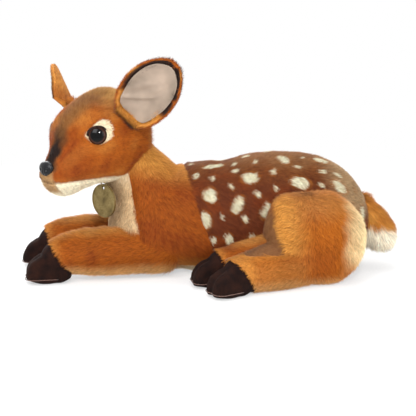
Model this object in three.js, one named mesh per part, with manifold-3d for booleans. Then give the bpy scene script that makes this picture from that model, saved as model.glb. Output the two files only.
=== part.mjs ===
// A lying plush fawn, in millimetres, +Z up. It faces -X and its left side is towards -Y. The origin is the
// middle of the flat patch of belly that it rests on. Each sewn panel is a shell of pile cloth over stuffing.
import * as THREE from "three";
import { mergeVertices } from "three/addons/utils/BufferGeometryUtils.js";
import Module from "manifold-3d";

const wasm = await Module();
wasm.setup();

// Cloth, seams and clearances
const plushWall = 3; // backing cloth with the root of its pile
const seamGap = 0.4; // between panels sewn edge to edge
const fitGap = 0.3; // between a piece and what it is seated on
const restDepth = 0.5; // how deep a stuffed form is flattened where it lies on the floor
const overrun = 400; // how far a cutting block reaches past what it cuts
const weldDistance = 1e-4; // points closer than this are one point

// Torso, from the front of the chest to the back of the rump
const torsoLength = 280;
const torsoHeight = 128;
const torsoWidth = 112;
const chestReach = 141; // from the origin forward to the front of the chest

// Neck, which leaves the shoulders and carries the head
const neckLength = 90;
const neckDepth = 80;
const neckWidth = 76;
const neckFootInset = 57; // from the front of the chest back to where the neck starts inside it
const neckFootAhead = chestReach - neckFootInset;
const neckFootLift = 60;
const neckTilt = 57.5; // degrees that the neck rises from level
const neckTurn = 8; // degrees that the neck leans to the left
const swivelAlong = 75; // from the neck's foot along its axis to the seam that the head turns on

// Head
const headLength = 134;
const headHeight = 98;
const headWidth = 92;
const skullPastNeck = 58; // from the neck's foot forward to the middle of the skull
const skullAhead = neckFootAhead + skullPastNeck;
const skullAside = 10; // how far the skull lies to the left
const skullLift = 153;
const skullToNape = 43; // from the middle of the skull back to the end of the form
const headYaw = 43; // degrees that the head looks to its left
const headPitch = 22; // degrees that the nose points down
const jawSeamDrop = 44; // from the middle of the skull down to the seam of the white jaw
const jawSeamTilt = 21; // degrees

// Eyes, each a domed button on a stem that a washer locks inside the head
const eyeRadius = 9.4;
const eyeBulge = 5.2;
const eyeAhead = 5; // from the middle of the skull to where the eye's axis starts
const eyeYaw = 45; // degrees that the eye's axis points away from straight ahead
const eyeRise = 23; // degrees
const seatDepth = 1; // how far a button's rim sinks into the cloth
const stemRadius = 2.2;
const stemLength = 15;
const washerRadius = 7;
const washerThickness = 1.8;
const clothBow = 1.4; // how far the cloth curves away under a washer
const eyePatchLength = 34;
const eyePatchHeight = 25;
const eyePatchShift = 2.5; // how far the patch's middle lies behind the eye
const eyePatchTilt = 24; // degrees

// Nose button
const noseWidth = 19;
const noseHeight = 15;
const noseBulge = 4.5;
const noseAhead = 57; // from the middle of the skull to where the nose's axis starts
const noseDrop = 14;
const noseRise = 32; // degrees that its axis points up from the muzzle's

// Ears, each a cupped leaf of pile cloth with a satin lining
const earLength = 83;
const earWidth = 54;
const earThickness = 3;
const liningThickness = 1.2;
const liningInset = 5; // from the ear's edge to the edge of its lining
const earCup = 13; // how far the ear's sides curl forward
const earRollRadius = 4; // of the sewn root that the ear folds on
const earRootLength = 27;
const earRollSink = 2.2; // how deep the root lies in the head's cloth
const earRootYaw = 88; // degrees from straight ahead to the ear's root, seen from the middle of the skull
const earRootRise = 28; // degrees
const earYaw = { left: 113, right: 123 }; // degrees from straight ahead to where the ear points
const earRise = { left: 36, right: 14 }; // degrees; the right ear hangs lower
const earOpeningYaw = { left: 16, right: 30 }; // degrees from straight ahead to where its hollow side looks

// Front legs
const frontLegLength = 150;
const frontLegHeight = 47;
const frontLegWidth = 42;
const frontLegPast = { left: 73, right: 82 }; // from the front of the chest to the leg's end, inside its hoof
const frontLegAside = 27; // from the middle of the chest to the leg's axis at the shoulder
const frontLegSplay = 3.4; // degrees
const frontLegLift = 30.5; // of the leg's axis above the floor
const shoulderInset = 32; // from the leg's inner end forward to the axis that it lifts on
const shoulderAlong = frontLegLength - shoulderInset; // from the leg's hoofed end
const legLiftRange = 10; // degrees
const socketSlack = 2.2; // round the leg in the chest
const shoulderRollRadius = 7; // of the rolled root by which a leg is sewn into the chest, on the lift axis
const shoulderRollLength = 9;
const shoulderRollAside = 22; // from the leg's axis to the middle of its root
const shoulderOpeningDepth = 6; // how far the cloth's open end lies inside the round of the shoulder

// Hooves
const hoofLength = 50;
const hoofHeight = 33;
const toeWidth = 21;
const toeSpread = 14; // between the middles of the two toes
const hoofAhead = 15; // how far the toes reach past the leg's end
const hoofSeamAlong = 20; // from the leg's end back to the hoof's seam, on the leg's axis
const hoofSeamTilt = 32; // degrees

// Hind legs
const thighLength = 104;
const thighHeight = 95;
const thighWidth = 66;
const thighInset = 69; // from the back of the rump forward to the middle of the thigh
const thighBehind = torsoLength - chestReach - thighInset;
const thighAside = 60;
const thighLift = 47;
const leftShankLength = 142;
const shankHeight = 49;
const shankWidth = 47;
const shankLift = 24;
const leftShankAhead = 99; // from the middle of the thigh forward to the shank's end, inside its hoof
const leftShankAside = 106;
const leftShankTurn = 25; // degrees
const rightShankAhead = 113;
const rightShankAside = 66;
const rightShankTurn = 7; // degrees
const hindHoofShare = 0.9; // of the size of a front hoof
const rightShankLength = 128;
const gussetTilt = 12; // degrees that the gusset's seam turns from facing forward to facing the belly
const gussetDip = 14; // degrees
const gussetReach = 28.5; // from the middle of the thigh to the gusset's seam
const gussetFootLift = 39;
const haunchLength = 104;
const haunchHeight = 92;
const haunchWidth = 56;
const haunchAside = 42;

// Tail
const tailLength = 64;
const tailWidth = 40;
const tailDepth = 34;
const tailRootInset = 11; // from the back of the rump forward to the axis that the tail lifts on
const tailRootBehind = torsoLength - chestReach - tailRootInset;
const tailRootLift = 77;
const tailDroop = 58; // degrees below level
const tailRollRadius = 10; // of the root that the tail lifts on
const tailRollLength = 26;
const tailLiftRange = 40; // degrees
const tailSeamTilt = 46; // degrees between the tail's axis and the edge of its cream underside
const tailSeamAlong = 38; // from the root to where that edge crosses the axis

// Pellet pouch that weighs the belly down
const pouchLength = 120;
const pouchWidth = 52;
const pouchHeight = 24;
const pouchBehind = 12;

// Medallion, hung by a ring from a cord loop in the throat seam
const medalRadius = 17.6;
const medalThickness = 1.4;
const medalRimWidth = 1.3;
const medalRimHeight = 0.35;
const medalHoleRadius = 1.9;
const medalHoleInset = 3.8; // from the medallion's edge to the middle of its hole
const ringRadius = 3.2;
const ringWireRadius = 0.55;
const loopCordRadius = 0.6;
const loopWidth = 4.4;
const loopReach = 14; // back to inside the throat
const linkPlay = 0.3;
const loopPastNeck = 62.5; // from the neck's foot forward to the loop
const loopAhead = neckFootAhead + loopPastNeck;
const loopAside = 31;
const loopLift = 104;
const medalYaw = 42; // degrees that the medallion faces left of straight ahead

// Fineness of the surfaces
const columnSamples = 96; // points read off a curve through one column of a table
const centreLineStep = 1 / 99; // share of a form's length over which its direction is measured
const domeRings = 4;
const domeSides = 20;
const rodSides = 12;
const barSides = 20;
const leafRings = 8;
const leafStrips = 6;
const ovalSegments = 8;
const cordSegments = 4;
const cordSteps = 24;
const ringSegments = 18;
const ringWireSegments = 6;
const medalSegments = 40;

const degrees = Math.PI / 180;

// Shapes of the stuffed forms. Each row is one ring: its place along the form, the rise and the sideways
// shift of its middle, its half height and its half width, as shares of the form's length, height and width.
const torsoShares = [
  [0.0, 0.34, 0, 0.28, 0.35],
  [0.1, 0.385, 0, 0.34, 0.42],
  [0.28, 0.465, 0, 0.43, 0.465],
  [0.45, 0.465, 0, 0.463, 0.475],
  [0.58, 0.492, 0, 0.492, 0.49],
  [0.7, 0.496, 0, 0.496, 0.5],
  [0.8, 0.462, 0, 0.462, 0.49],
  [0.89, 0.41, 0, 0.405, 0.465],
  [1.0, 0.34, 0, 0.33, 0.42],
];
const torsoCapShares = [0.12, 0.19];
const torsoFullness = 2.4; // above 2, a section is fuller than an oval
const neckShares = [
  [0.0, 0.0, 0.0, 0.62, 0.58],
  [0.33, 0.04, -0.02, 0.5, 0.52],
  [0.62, 0.02, -0.04, 0.42, 0.47],
  [1.0, -0.03, -0.04, 0.38, 0.44],
];
const neckCapShares = [0.02, 0.02];
const headShares = [
  [0.0, 0.0, 0, 0.36, 0.4],
  [0.15, -0.005, 0, 0.44, 0.455],
  [0.34, -0.016, 0, 0.472, 0.495],
  [0.49, -0.012, 0, 0.463, 0.483],
  [0.62, -0.035, 0, 0.4, 0.4],
  [0.75, -0.08, 0, 0.29, 0.28],
  [0.85, -0.11, 0, 0.235, 0.222],
  [0.93, -0.125, 0, 0.185, 0.19],
  [1.0, -0.145, 0, 0.145, 0.155],
];
const headCapShares = [0.25, 0.055];
const frontLegShares = [
  [0.0, -0.12, 0, 0.3, 0.4],
  [0.12, -0.065, 0, 0.39, 0.44],
  [0.26, -0.015, 0, 0.465, 0.48],
  [0.5, 0, 0, 0.5, 0.5],
  [1.0, 0, 0, 0.48, 0.42],
];
const frontLegCapShares = [0.12, 0.157];
const shankShares = [
  [0.0, -0.1, 0, 0.34, 0.36],
  [0.2, -0.08, 0, 0.39, 0.42],
  [0.5, 0.0, 0, 0.5, 0.5],
  [0.8, 0.06, 0, 0.56, 0.52],
  [1.0, 0.06, 0, 0.56, 0.5],
];
const shankCapShares = [0.1, 0.16];
const shankFullness = 2.3;
const thighShares = [
  [0.0, -0.02, 0, 0.44, 0.42],
  [0.3, 0, 0, 0.49, 0.49],
  [0.6, 0, 0, 0.5, 0.5],
  [1.0, 0.02, 0, 0.42, 0.4],
];
const thighCapShares = [0.26, 0.38];
const thighFullness = 2.3;
const toeShares = [
  [0.0, 0.3, 0, 0.27, 0.36],
  [0.14, 0.32, 0, 0.31, 0.42],
  [0.28, 0.4, 0, 0.395, 0.46],
  [0.44, 0.475, 0, 0.47, 0.49],
  [1.0, 0.5, 0, 0.48, 0.46],
];
const toeCapShares = [0.12, 0.2];
const roundShares = [
  [0.0, 0, 0, 0.4, 0.4],
  [0.5, 0, 0, 0.5, 0.5],
  [1.0, 0, 0, 0.4, 0.4],
];
const roundCapShares = [0.42, 0.42];
const tailShares = [
  [0.0, 0, 0, 0.3, 0.3],
  [0.3, 0, 0, 0.42, 0.41],
  [0.65, 0.03, 0, 0.5, 0.5],
  [1.0, 0.1, 0, 0.42, 0.44],
];
const tailCapShares = [0.1, 0.32];
const pouchCapShares = [0.3, 0.3];
const earWidthShares = [
  [0.0, 0.2],
  [0.14, 0.3],
  [0.36, 0.46],
  [0.56, 0.5],
  [0.76, 0.44],
  [0.92, 0.27],
  [1.0, 0.09],
];
// Ends of the body's seams, seen from the side: ahead and up, as shares of the torso's length and height
const saddleSeamTopShares = [0.279, 0.9];
const saddleSeamFootShares = [0.368, 0.31];
const throatSeamTopShares = [0.079, 0.82];
const throatSeamFootShares = [0.104, 0.47];
const bellySeamShare = 0.1;
const earCupShares = {
  left: [
    [0.0, 0.3],
    [0.3, 1],
    [0.7, 0.8],
    [1.0, 0.05],
  ],
  right: [
    [0.0, 0.4],
    [0.14, 1.1],
    [0.32, 1.3],
    [0.6, 0.7],
    [0.85, 0.25],
    [1.0, 0.05],
  ],
};

// Curve through one column of a table
function column(table, index) {
  const spline = new THREE.SplineCurve(table.map((row) => new THREE.Vector2(row[0], row[index])));
  const samples = spline.getPoints(columnSamples);
  return (place) => {
    const next = samples.findIndex((point) => point.x >= place);
    if (next <= 0) return samples[next < 0 ? samples.length - 1 : 0].y;
    const [low, high] = [samples[next - 1], samples[next]];
    return low.y + ((high.y - low.y) * (place - low.x)) / (high.x - low.x);
  };
}

// Places along a form, closer together in its two rounded ends
function ringPlaces([startShare, endShare], rings, capRings) {
  const roundStep = (i) => 1 - Math.cos((i / capRings) * (Math.PI / 2));
  const places = [];
  for (let i = 1; i <= capRings; i++) places.push(startShare * roundStep(i));
  for (let i = 1; i < rings; i++) places.push(startShare + ((1 - startShare - endShare) * i) / rings);
  for (let i = capRings; i >= 1; i--) places.push(1 - endShare * roundStep(i));
  return places;
}

const fuller = (share, fullness) => Math.sign(share) * Math.abs(share) ** (2 / fullness);

// A stuffed form that lies along +X from its own origin: rings round a centre line, closed at rounded ends.
// An inset draws the whole surface in, where half the rings and sides are enough. A negative one lets it out.
function stuffedForm(form, inset = 0) {
  const { length, height, width, shares, capShares, capRings = 3, fullness = 2 } = form;
  const [rings, sides] = [form.rings, form.sides].map((count) => (inset > 0 ? count / 2 : count));
  const [rise, shift, halfHeight, halfWidth] = [1, 2, 3, 4].map((index) => column(shares, index));
  const middleAt = (place) =>
    new THREE.Vector3(inset + place * (length - 2 * inset), shift(place) * width, rise(place) * height);
  const points = [middleAt(0)];
  for (const place of ringPlaces(capShares, rings, capRings)) {
    const intoStart = Math.max(0, 1 - place / capShares[0]);
    const intoEnd = Math.max(0, 1 - (1 - place) / capShares[1]);
    const roundness = Math.sqrt(1 - Math.max(intoStart, intoEnd) ** 2);
    const ahead = middleAt(Math.min(1, place + centreLineStep));
    const along = ahead.sub(middleAt(Math.max(0, place - centreLineStep))).normalize();
    const side = new THREE.Vector3(0, 0, 1).cross(along).normalize();
    const up = along.clone().cross(side);
    for (let i = 0; i < sides; i++) {
      const turn = (i / sides) * 2 * Math.PI;
      const tall = (halfHeight(place) * height - inset) * roundness * fuller(Math.cos(turn), fullness);
      const wide = (halfWidth(place) * width - inset) * roundness * fuller(Math.sin(turn), fullness);
      points.push(middleAt(place).addScaledVector(up, tall).addScaledVector(side, wide));
    }
  }
  points.push(middleAt(1));
  return closedTube(points, sides);
}

// Triangles over a pole, rings of points and another pole
function closedTube(points, sides) {
  const index = [];
  const last = points.length - 1;
  const ringCount = (points.length - 2) / sides;
  for (let i = 0; i < sides; i++) {
    const next = (i + 1) % sides;
    index.push(0, 1 + next, 1 + i);
    for (let ring = 0; ring < ringCount - 1; ring++) {
      const [here, there] = [1 + ring * sides, 1 + (ring + 1) * sides];
      index.push(here + i, here + next, there + i, here + next, there + next, there + i);
    }
    const end = 1 + (ringCount - 1) * sides;
    index.push(last, end + i, end + next);
  }
  const geometry = new THREE.BufferGeometry().setFromPoints(points);
  geometry.setIndex(index);
  return geometry;
}

// The solid of a closed geometry, turned to face outwards
function solidOf(geometry, matrix = new THREE.Matrix4()) {
  const plain = new THREE.BufferGeometry();
  plain.setAttribute("position", geometry.getAttribute("position").clone());
  if (geometry.index) plain.setIndex(geometry.index);
  const merged = mergeVertices(plain.applyMatrix4(matrix), weldDistance);
  const vertProperties = merged.attributes.position.array;
  const build = (triVerts) => new wasm.Manifold(new wasm.Mesh({ numProp: 3, vertProperties, triVerts }));
  const made = build(new Uint32Array(merged.index.array));
  return made.volume() > 0 ? made : build(new Uint32Array(merged.index.array).reverse());
}

function geometryOf(solid) {
  const { vertProperties, triVerts } = solid.getMesh();
  const geometry = new THREE.BufferGeometry();
  geometry.setAttribute("position", new THREE.BufferAttribute(vertProperties, 3));
  geometry.setIndex(new THREE.BufferAttribute(triVerts, 1));
  const faceted = geometry.toNonIndexed();
  faceted.computeVertexNormals();
  return faceted;
}

// The largest of the bodies that a cut leaves
const largest = (solid) => solid.decompose().sort((a, b) => b.volume() - a.volume())[0];

const joined = (solids) => solids.reduce((all, one) => all.add(one));
const moved = (solid, matrix) => solid.transform(matrix.elements);
const vector = (x, y, z) => new THREE.Vector3(x, y, z);

// A frame at a place, turned about Z by yaw, then about its own Y by pitch and its own X by roll, in degrees
function placed(x, y, z, yaw = 0, pitch = 0, roll = 0) {
  const turn = new THREE.Euler(roll * degrees, pitch * degrees, yaw * degrees, "ZYX");
  return new THREE.Matrix4().makeRotationFromEuler(turn).setPosition(x, y, z);
}

// Everything past a plane: a block whose near face goes through point and which lies on the side of normal
function beyond(point, normal) {
  const block = new THREE.BoxGeometry(overrun * 2, overrun * 2, overrun).translate(0, 0, overrun / 2);
  const turn = new THREE.Quaternion().setFromUnitVectors(vector(0, 0, 1), normal.clone().normalize());
  return solidOf(block, new THREE.Matrix4().makeRotationFromQuaternion(turn).setPosition(point));
}

// The two sides of a seam, drawn apart by the seam's gap
function splitBySeam(solid, point, normal) {
  const away = normal.clone().normalize().multiplyScalar(seamGap / 2);
  const back = away.clone().negate();
  return [beyond(point.clone().add(away), away), beyond(point.clone().add(back), back)].map((block) =>
    largest(solid.intersect(block)),
  );
}

// A round bar along X, centred on the origin
const bar = (radius, length, sides = barSides) =>
  solidOf(new THREE.CylinderGeometry(radius, radius, length, sides).rotateZ(Math.PI / 2));

const floor = beyond(vector(0, 0, 0), vector(0, 0, -1));
const flattened = (solid) => solid.subtract(floor);

// Colour and roughness of each cloth and fitting
const finish = (color, roughness, metalness = 0) =>
  new THREE.MeshStandardMaterial({ color, roughness, metalness });
const tan = finish("#b56a2c", 0.95);
const chestnut = finish("#6e3416", 0.95);
const cream = finish("#e6d3a8", 0.95);
const fawn = finish("#ba986a", 0.95);
const umber = finish("#8a6440", 0.95);
const suede = finish("#2c1915", 0.85);
const satin = finish("#bda690", 0.5);
const fibre = finish("#f2f0ea", 1);
const calico = finish("#dcd8cc", 0.9);
const eyeBlack = finish("#140b08", 0.08);
const noseBlack = finish("#17171a", 0.15);
const washerWhite = finish("#e8e8e4", 0.4);
const brass = finish("#8c7440", 0.4, 0.9);
const cord = finish("#c9b26a", 0.7);

function group(matrix = new THREE.Matrix4(), parent = null) {
  const made = new THREE.Group();
  made.applyMatrix4(matrix);
  if (parent) parent.add(made);
  return made;
}

// Adds a piece that was made in the deer's own frame to a group that lies at matrix
function add(parent, name, solid, material, matrix = new THREE.Matrix4()) {
  const mesh = new THREE.Mesh(geometryOf(moved(solid, matrix.clone().invert())), material);
  mesh.name = name;
  parent.add(mesh);
}

const deer = group();

// Neck and the seam that the head turns on
const neckPlace = placed(-neckFootAhead, 0, neckFootLift, 180 + neckTurn, -neckTilt);
const neckAxis = vector(1, 0, 0).transformDirection(neckPlace);
const swivelPoint = vector(swivelAlong, 0, 0).applyMatrix4(neckPlace);
const headSide = beyond(swivelPoint, neckAxis);
const neckSide = beyond(swivelPoint.clone().addScaledVector(neckAxis, -fitGap), neckAxis.clone().negate());
const neckForm = {
  length: neckLength,
  height: neckDepth,
  width: neckWidth,
  shares: neckShares,
  capShares: neckCapShares,
  rings: 4,
  capRings: 1,
  sides: 16,
};
const torsoForm = {
  length: torsoLength,
  height: torsoHeight,
  width: torsoWidth,
  shares: torsoShares,
  capShares: torsoCapShares,
  rings: 8,
  sides: 20,
  fullness: torsoFullness,
};
const torsoSolid = (inset) =>
  flattened(solidOf(stuffedForm(torsoForm, inset), placed(-chestReach, 0, -restDepth)));
const neckSolid = (inset) => solidOf(stuffedForm(neckForm, inset), neckPlace);
const wholeBody = (inset) => torsoSolid(inset).add(neckSolid(inset));
const bodySolid = (inset) => wholeBody(inset).intersect(neckSide);

// A leg: a tapering limb that ends in a hoof with two toes. Its frame lies at the limb's end, in the hoof.
function toes(inset, lift, sizeShare) {
  const form = {
    length: hoofLength * sizeShare,
    height: hoofHeight * sizeShare,
    width: toeWidth * sizeShare,
    shares: toeShares,
    capShares: toeCapShares,
    rings: 2,
    capRings: 2,
    sides: 10,
  };
  const aside = (toeSpread * sizeShare) / 2;
  const sole = -lift - restDepth;
  const toe = (side) => solidOf(stuffedForm(form, inset), placed(-hoofAhead, side * aside, sole));
  return toe(-1).add(toe(1));
}

// The whole leg as a function of its inset. The toes are stuffed cloth right through.
function legSolid(form, place, lift, hoofShare = 1) {
  return (inset) => {
    const limb = solidOf(stuffedForm(form, inset));
    return flattened(moved(inset > 0 ? limb : limb.add(toes(inset, lift, hoofShare)), place));
  };
}

// A point on the seam between a leg and its hoof, and the seam's direction
function hoofSeam(place) {
  const point = vector(hoofSeamAlong, 0, 0).applyMatrix4(place);
  const normal = vector(Math.cos(hoofSeamTilt * degrees), 0, Math.sin(hoofSeamTilt * degrees));
  return [point, normal.transformDirection(place)];
}

const frontLegForm = {
  length: frontLegLength,
  height: frontLegHeight,
  width: frontLegWidth,
  shares: frontLegShares,
  capShares: frontLegCapShares,
  rings: 4,
  sides: 14,
};
const frontLegs = [
  ["left", -1],
  ["right", 1],
].map(([name, side]) => {
  const end = frontLegAside + Math.sin(frontLegSplay * degrees) * frontLegLength;
  const place = placed(-chestReach - frontLegPast[name], side * end, frontLegLift, -side * frontLegSplay);
  return { name, side, place, solid: legSolid(frontLegForm, place, frontLegLift) };
});
const shoulderRoll = ({ side, place }, slack) => {
  const root = placed(shoulderAlong, -side * shoulderRollAside, 0, 90);
  return moved(bar(shoulderRollRadius + slack, shoulderRollLength + 2 * slack), place.clone().multiply(root));
};

// What a solid sweeps as it turns about the Y axis of a frame, at rest, half way and at the end of its range
function swept(solid, frame, range) {
  const steps = [0, 1 / 2, 1].map((share) => {
    const turn = new THREE.Matrix4().makeRotationY(share * range * degrees);
    return moved(solid, frame.clone().multiply(turn).multiply(frame.clone().invert()));
  });
  return joined(steps);
}
const socketForm = { ...frontLegForm, rings: 2, capRings: 3, sides: 10 };
const frontLegRoom = joined(
  frontLegs.map((leg) => {
    const hinge = leg.place.clone().multiply(placed(shoulderAlong, 0, 0));
    const socket = swept(solidOf(stuffedForm(socketForm, -socketSlack), leg.place), hinge, legLiftRange);
    return socket.add(shoulderRoll(leg, fitGap));
  }),
);

for (const leg of frontLegs) {
  const { name, place, solid } = leg;
  const legGroup = group(place, deer);
  const opening = vector(frontLegLength - shoulderOpeningDepth, 0, 0).applyMatrix4(place);
  const shoulderOpening = beyond(opening, vector(1, 0, 0));
  const cloth = solid(0).subtract(solid(plushWall)).subtract(shoulderOpening);
  const [legCloth, hoofCloth] = splitBySeam(cloth, ...hoofSeam(place));
  add(legGroup, `front_leg_${name}_skin`, legCloth.add(shoulderRoll(leg, 0)), tan, place);
  add(legGroup, `front_hoof_${name}`, hoofCloth, suede, place);
  add(legGroup, `front_leg_${name}_stuffing`, solid(plushWall + fitGap), fibre, place);
}

// The space round the tail's rolled root, which is sewn into the rump
const tailRoll = (radius, length) => moved(bar(radius, length), placed(tailRootBehind, 0, tailRootLift, 90));
const tailRoom = tailRoll(tailRollRadius + fitGap, tailRollLength + 2 * fitGap);

// The body's cloth in four panels, over its stuffing and a pouch of pellets that lies on the belly
const bodyOpenings = frontLegRoom.add(tailRoom);
const bodyCloth = bodySolid(0).subtract(wholeBody(plushWall)).subtract(bodyOpenings);
const shares = (ahead, lift) => vector(-chestReach + ahead * torsoLength, 0, lift * torsoHeight);
const seamBetween = (top, foot) => vector(0, 1, 0).cross(shares(...top).sub(shares(...foot)));
const [upperCloth, bellyCloth] = splitBySeam(bodyCloth, shares(0, bellySeamShare), vector(0, 0, 1));
const [saddleCloth, foreCloth] = splitBySeam(
  upperCloth,
  shares(...saddleSeamTopShares),
  seamBetween(saddleSeamTopShares, saddleSeamFootShares),
);
const [shoulderCloth, throatCloth] = splitBySeam(
  foreCloth,
  shares(...throatSeamTopShares),
  seamBetween(throatSeamTopShares, throatSeamFootShares),
);
add(deer, "saddle_skin", saddleCloth, chestnut);
add(deer, "shoulder_skin", shoulderCloth, tan);
add(deer, "throat_panel", throatCloth, fawn);
add(deer, "belly_panel", bellyCloth, cream);
const pouchForm = {
  length: pouchLength,
  height: pouchHeight,
  width: pouchWidth,
  shares: roundShares,
  capShares: pouchCapShares,
  rings: 2,
  capRings: 2,
  sides: 10,
};
const insideCloth = bodySolid(plushWall + fitGap).subtract(bodyOpenings);
const pouch = (inset) =>
  solidOf(stuffedForm(pouchForm, inset), placed(pouchBehind - pouchLength / 2, 0, pouchHeight / 2));
add(deer, "pellet_pouch", pouch(0).intersect(insideCloth), calico);
add(deer, "body_stuffing", largest(insideCloth.subtract(pouch(-fitGap))), fibre);

// Hind legs, both folded to the left side
const thighPlace = placed(thighBehind - thighLength / 2, -thighAside, thighLift);
const thighForm = {
  length: thighLength,
  height: thighHeight,
  width: thighWidth,
  shares: thighShares,
  capShares: thighCapShares,
  fullness: thighFullness,
  rings: 2,
  capRings: 4,
  sides: 16,
};
const shankForm = {
  length: leftShankLength,
  height: shankHeight,
  width: shankWidth,
  shares: shankShares,
  capShares: shankCapShares,
  fullness: shankFullness,
  rings: 4,
  sides: 14,
};
const shankPlaces = {
  left: placed(thighBehind - leftShankAhead, -leftShankAside, shankLift, leftShankTurn),
  right: placed(thighBehind - rightShankAhead, -rightShankAside, shankLift, rightShankTurn),
};
const leftShank = legSolid(shankForm, shankPlaces.left, shankLift, hindHoofShare);
const rightShankForm = { ...shankForm, length: rightShankLength };
const rightShank = legSolid(rightShankForm, shankPlaces.right, shankLift, hindHoofShare);
const thigh = (inset) => flattened(solidOf(stuffedForm(thighForm, inset), thighPlace));
const hindLeg = (inset) => leftShank(inset).add(thigh(inset));
const bodyRoom = bodySolid(-seamGap);
const hindLegRoom = hindLeg(-seamGap);

const hindLegCloth = hindLeg(0).subtract(hindLeg(plushWall)).subtract(bodyRoom);
const [hindCloth, hindHoof] = splitBySeam(hindLegCloth, ...hoofSeam(shankPlaces.left));
const gussetNormal = vector(-1, 0, 0).applyEuler(
  new THREE.Euler(0, -gussetDip * degrees, -gussetTilt * degrees, "ZYX"),
);
const gussetRegion = (away) =>
  beyond(
    vector(thighBehind, -thighAside, thighLift).addScaledVector(gussetNormal, gussetReach + away),
    gussetNormal,
  ).intersect(beyond(vector(0, 0, gussetFootLift + away), vector(0, 0, 1)));
add(deer, "hind_leg_left_skin", largest(hindCloth.subtract(gussetRegion(-seamGap / 2))), tan);
add(deer, "thigh_gusset", largest(hindCloth.intersect(gussetRegion(seamGap / 2))), umber);
add(deer, "hind_hoof_left", hindHoof, suede);
add(deer, "hind_leg_left_stuffing", hindLeg(plushWall + fitGap).subtract(bodyRoom), fibre);

const besideRightShank = bodyRoom.add(hindLegRoom);
const rightShankCloth = rightShank(0).subtract(rightShank(plushWall)).subtract(besideRightShank);
const [rightLegCloth, rightHoofCloth] = splitBySeam(rightShankCloth, ...hoofSeam(shankPlaces.right));
add(deer, "hind_leg_right_skin", rightLegCloth, tan);
add(deer, "hind_hoof_right", rightHoofCloth, suede);
const rightShankCore = rightShank(plushWall + fitGap).subtract(besideRightShank);
add(deer, "hind_leg_right_stuffing", largest(rightShankCore), fibre);

const haunchForm = {
  length: haunchLength,
  height: haunchHeight,
  width: haunchWidth,
  shares: roundShares,
  capShares: roundCapShares,
  rings: 2,
  capRings: 4,
  sides: 16,
};
const haunchPlace = placed(thighBehind - haunchLength / 2, haunchAside, haunchHeight / 2 - restDepth);
const haunch = (inset) => flattened(solidOf(stuffedForm(haunchForm, inset), haunchPlace));
add(deer, "haunch_right_skin", largest(haunch(0).subtract(haunch(plushWall)).subtract(bodyRoom)), tan);
add(deer, "haunch_right_stuffing", largest(haunch(plushWall + fitGap).subtract(bodyRoom)), fibre);

// Tail, which lifts on its rolled root
const tailPlace = placed(tailRootBehind, 0, tailRootLift, 0, tailDroop);
const tailForm = {
  length: tailLength,
  height: tailDepth,
  width: tailWidth,
  shares: tailShares,
  capShares: tailCapShares,
  rings: 4,
  sides: 12,
};
const rumpRoom = swept(bodyRoom, tailPlace, tailLiftRange);
const tailSolid = (inset) => solidOf(stuffedForm(tailForm, inset), tailPlace).subtract(rumpRoom);
const alongTail = vector(1, 0, 0).transformDirection(tailPlace);
const pastRoll = beyond(vector(tailRollRadius, 0, 0).applyMatrix4(tailPlace), alongTail);
const tailTurn = tailSeamTilt * degrees;
const tailWhole = tailSolid(0).add(tailRoll(tailRollRadius, tailRollLength));
const tailCloth = tailWhole.subtract(tailSolid(plushWall).intersect(pastRoll));
const [tailTop, tailUnderside] = splitBySeam(
  tailCloth,
  vector(tailSeamAlong, 0, 0).applyMatrix4(tailPlace),
  vector(-Math.sin(tailTurn), 0, Math.cos(tailTurn)).transformDirection(tailPlace),
);
const tailCore = tailSolid(plushWall + fitGap).intersect(
  beyond(vector(tailRollRadius + fitGap, 0, 0).applyMatrix4(tailPlace), alongTail),
);
const tail = group(tailPlace, deer);
add(tail, "tail_top", tailTop, tan, tailPlace);
add(tail, "tail_underside", tailUnderside, cream, tailPlace);
add(tail, "tail_stuffing", tailCore, fibre, tailPlace);

// Head
const headPlace = placed(-skullAhead, -skullAside, skullLift, headYaw, -headPitch);
const headFormPlace = headPlace.clone().multiply(placed(skullToNape, 0, 0, 180));
const headForm = {
  length: headLength,
  height: headHeight,
  width: headWidth,
  shares: headShares,
  capShares: headCapShares,
  rings: 8,
  sides: 20,
};
const headSolid = (inset) => solidOf(stuffedForm(headForm, inset), headFormPlace);

// A direction in the head's frame: yaw from straight ahead, positive to the deer's left, and rise from level
const headWay = (yaw, rise) =>
  vector(
    -Math.cos(yaw * degrees) * Math.cos(rise * degrees),
    -Math.sin(yaw * degrees) * Math.cos(rise * degrees),
    Math.sin(rise * degrees),
  );

// The frame on the head's surface where a line meets it, with Z along that line and X level
const headSurface = new THREE.Mesh(
  stuffedForm(headForm).applyMatrix4(placed(skullToNape, 0, 0, 180)),
  new THREE.MeshStandardMaterial({ side: THREE.DoubleSide }),
);
function seatOnHead(start, way) {
  const hits = new THREE.Raycaster(start, way.clone()).intersectObject(headSurface);
  const across = vector(0, 0, 1).cross(way).normalize();
  const basis = new THREE.Matrix4().makeBasis(across, way.clone().cross(across), way);
  return headPlace.clone().multiply(basis.setPosition(hits[hits.length - 1].point));
}

// A round rod along Z
function rod(radius, from, to) {
  const cylinder = new THREE.CylinderGeometry(radius, radius, to - from, rodSides).rotateX(Math.PI / 2);
  return solidOf(cylinder.translate(0, 0, (from + to) / 2));
}

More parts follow.
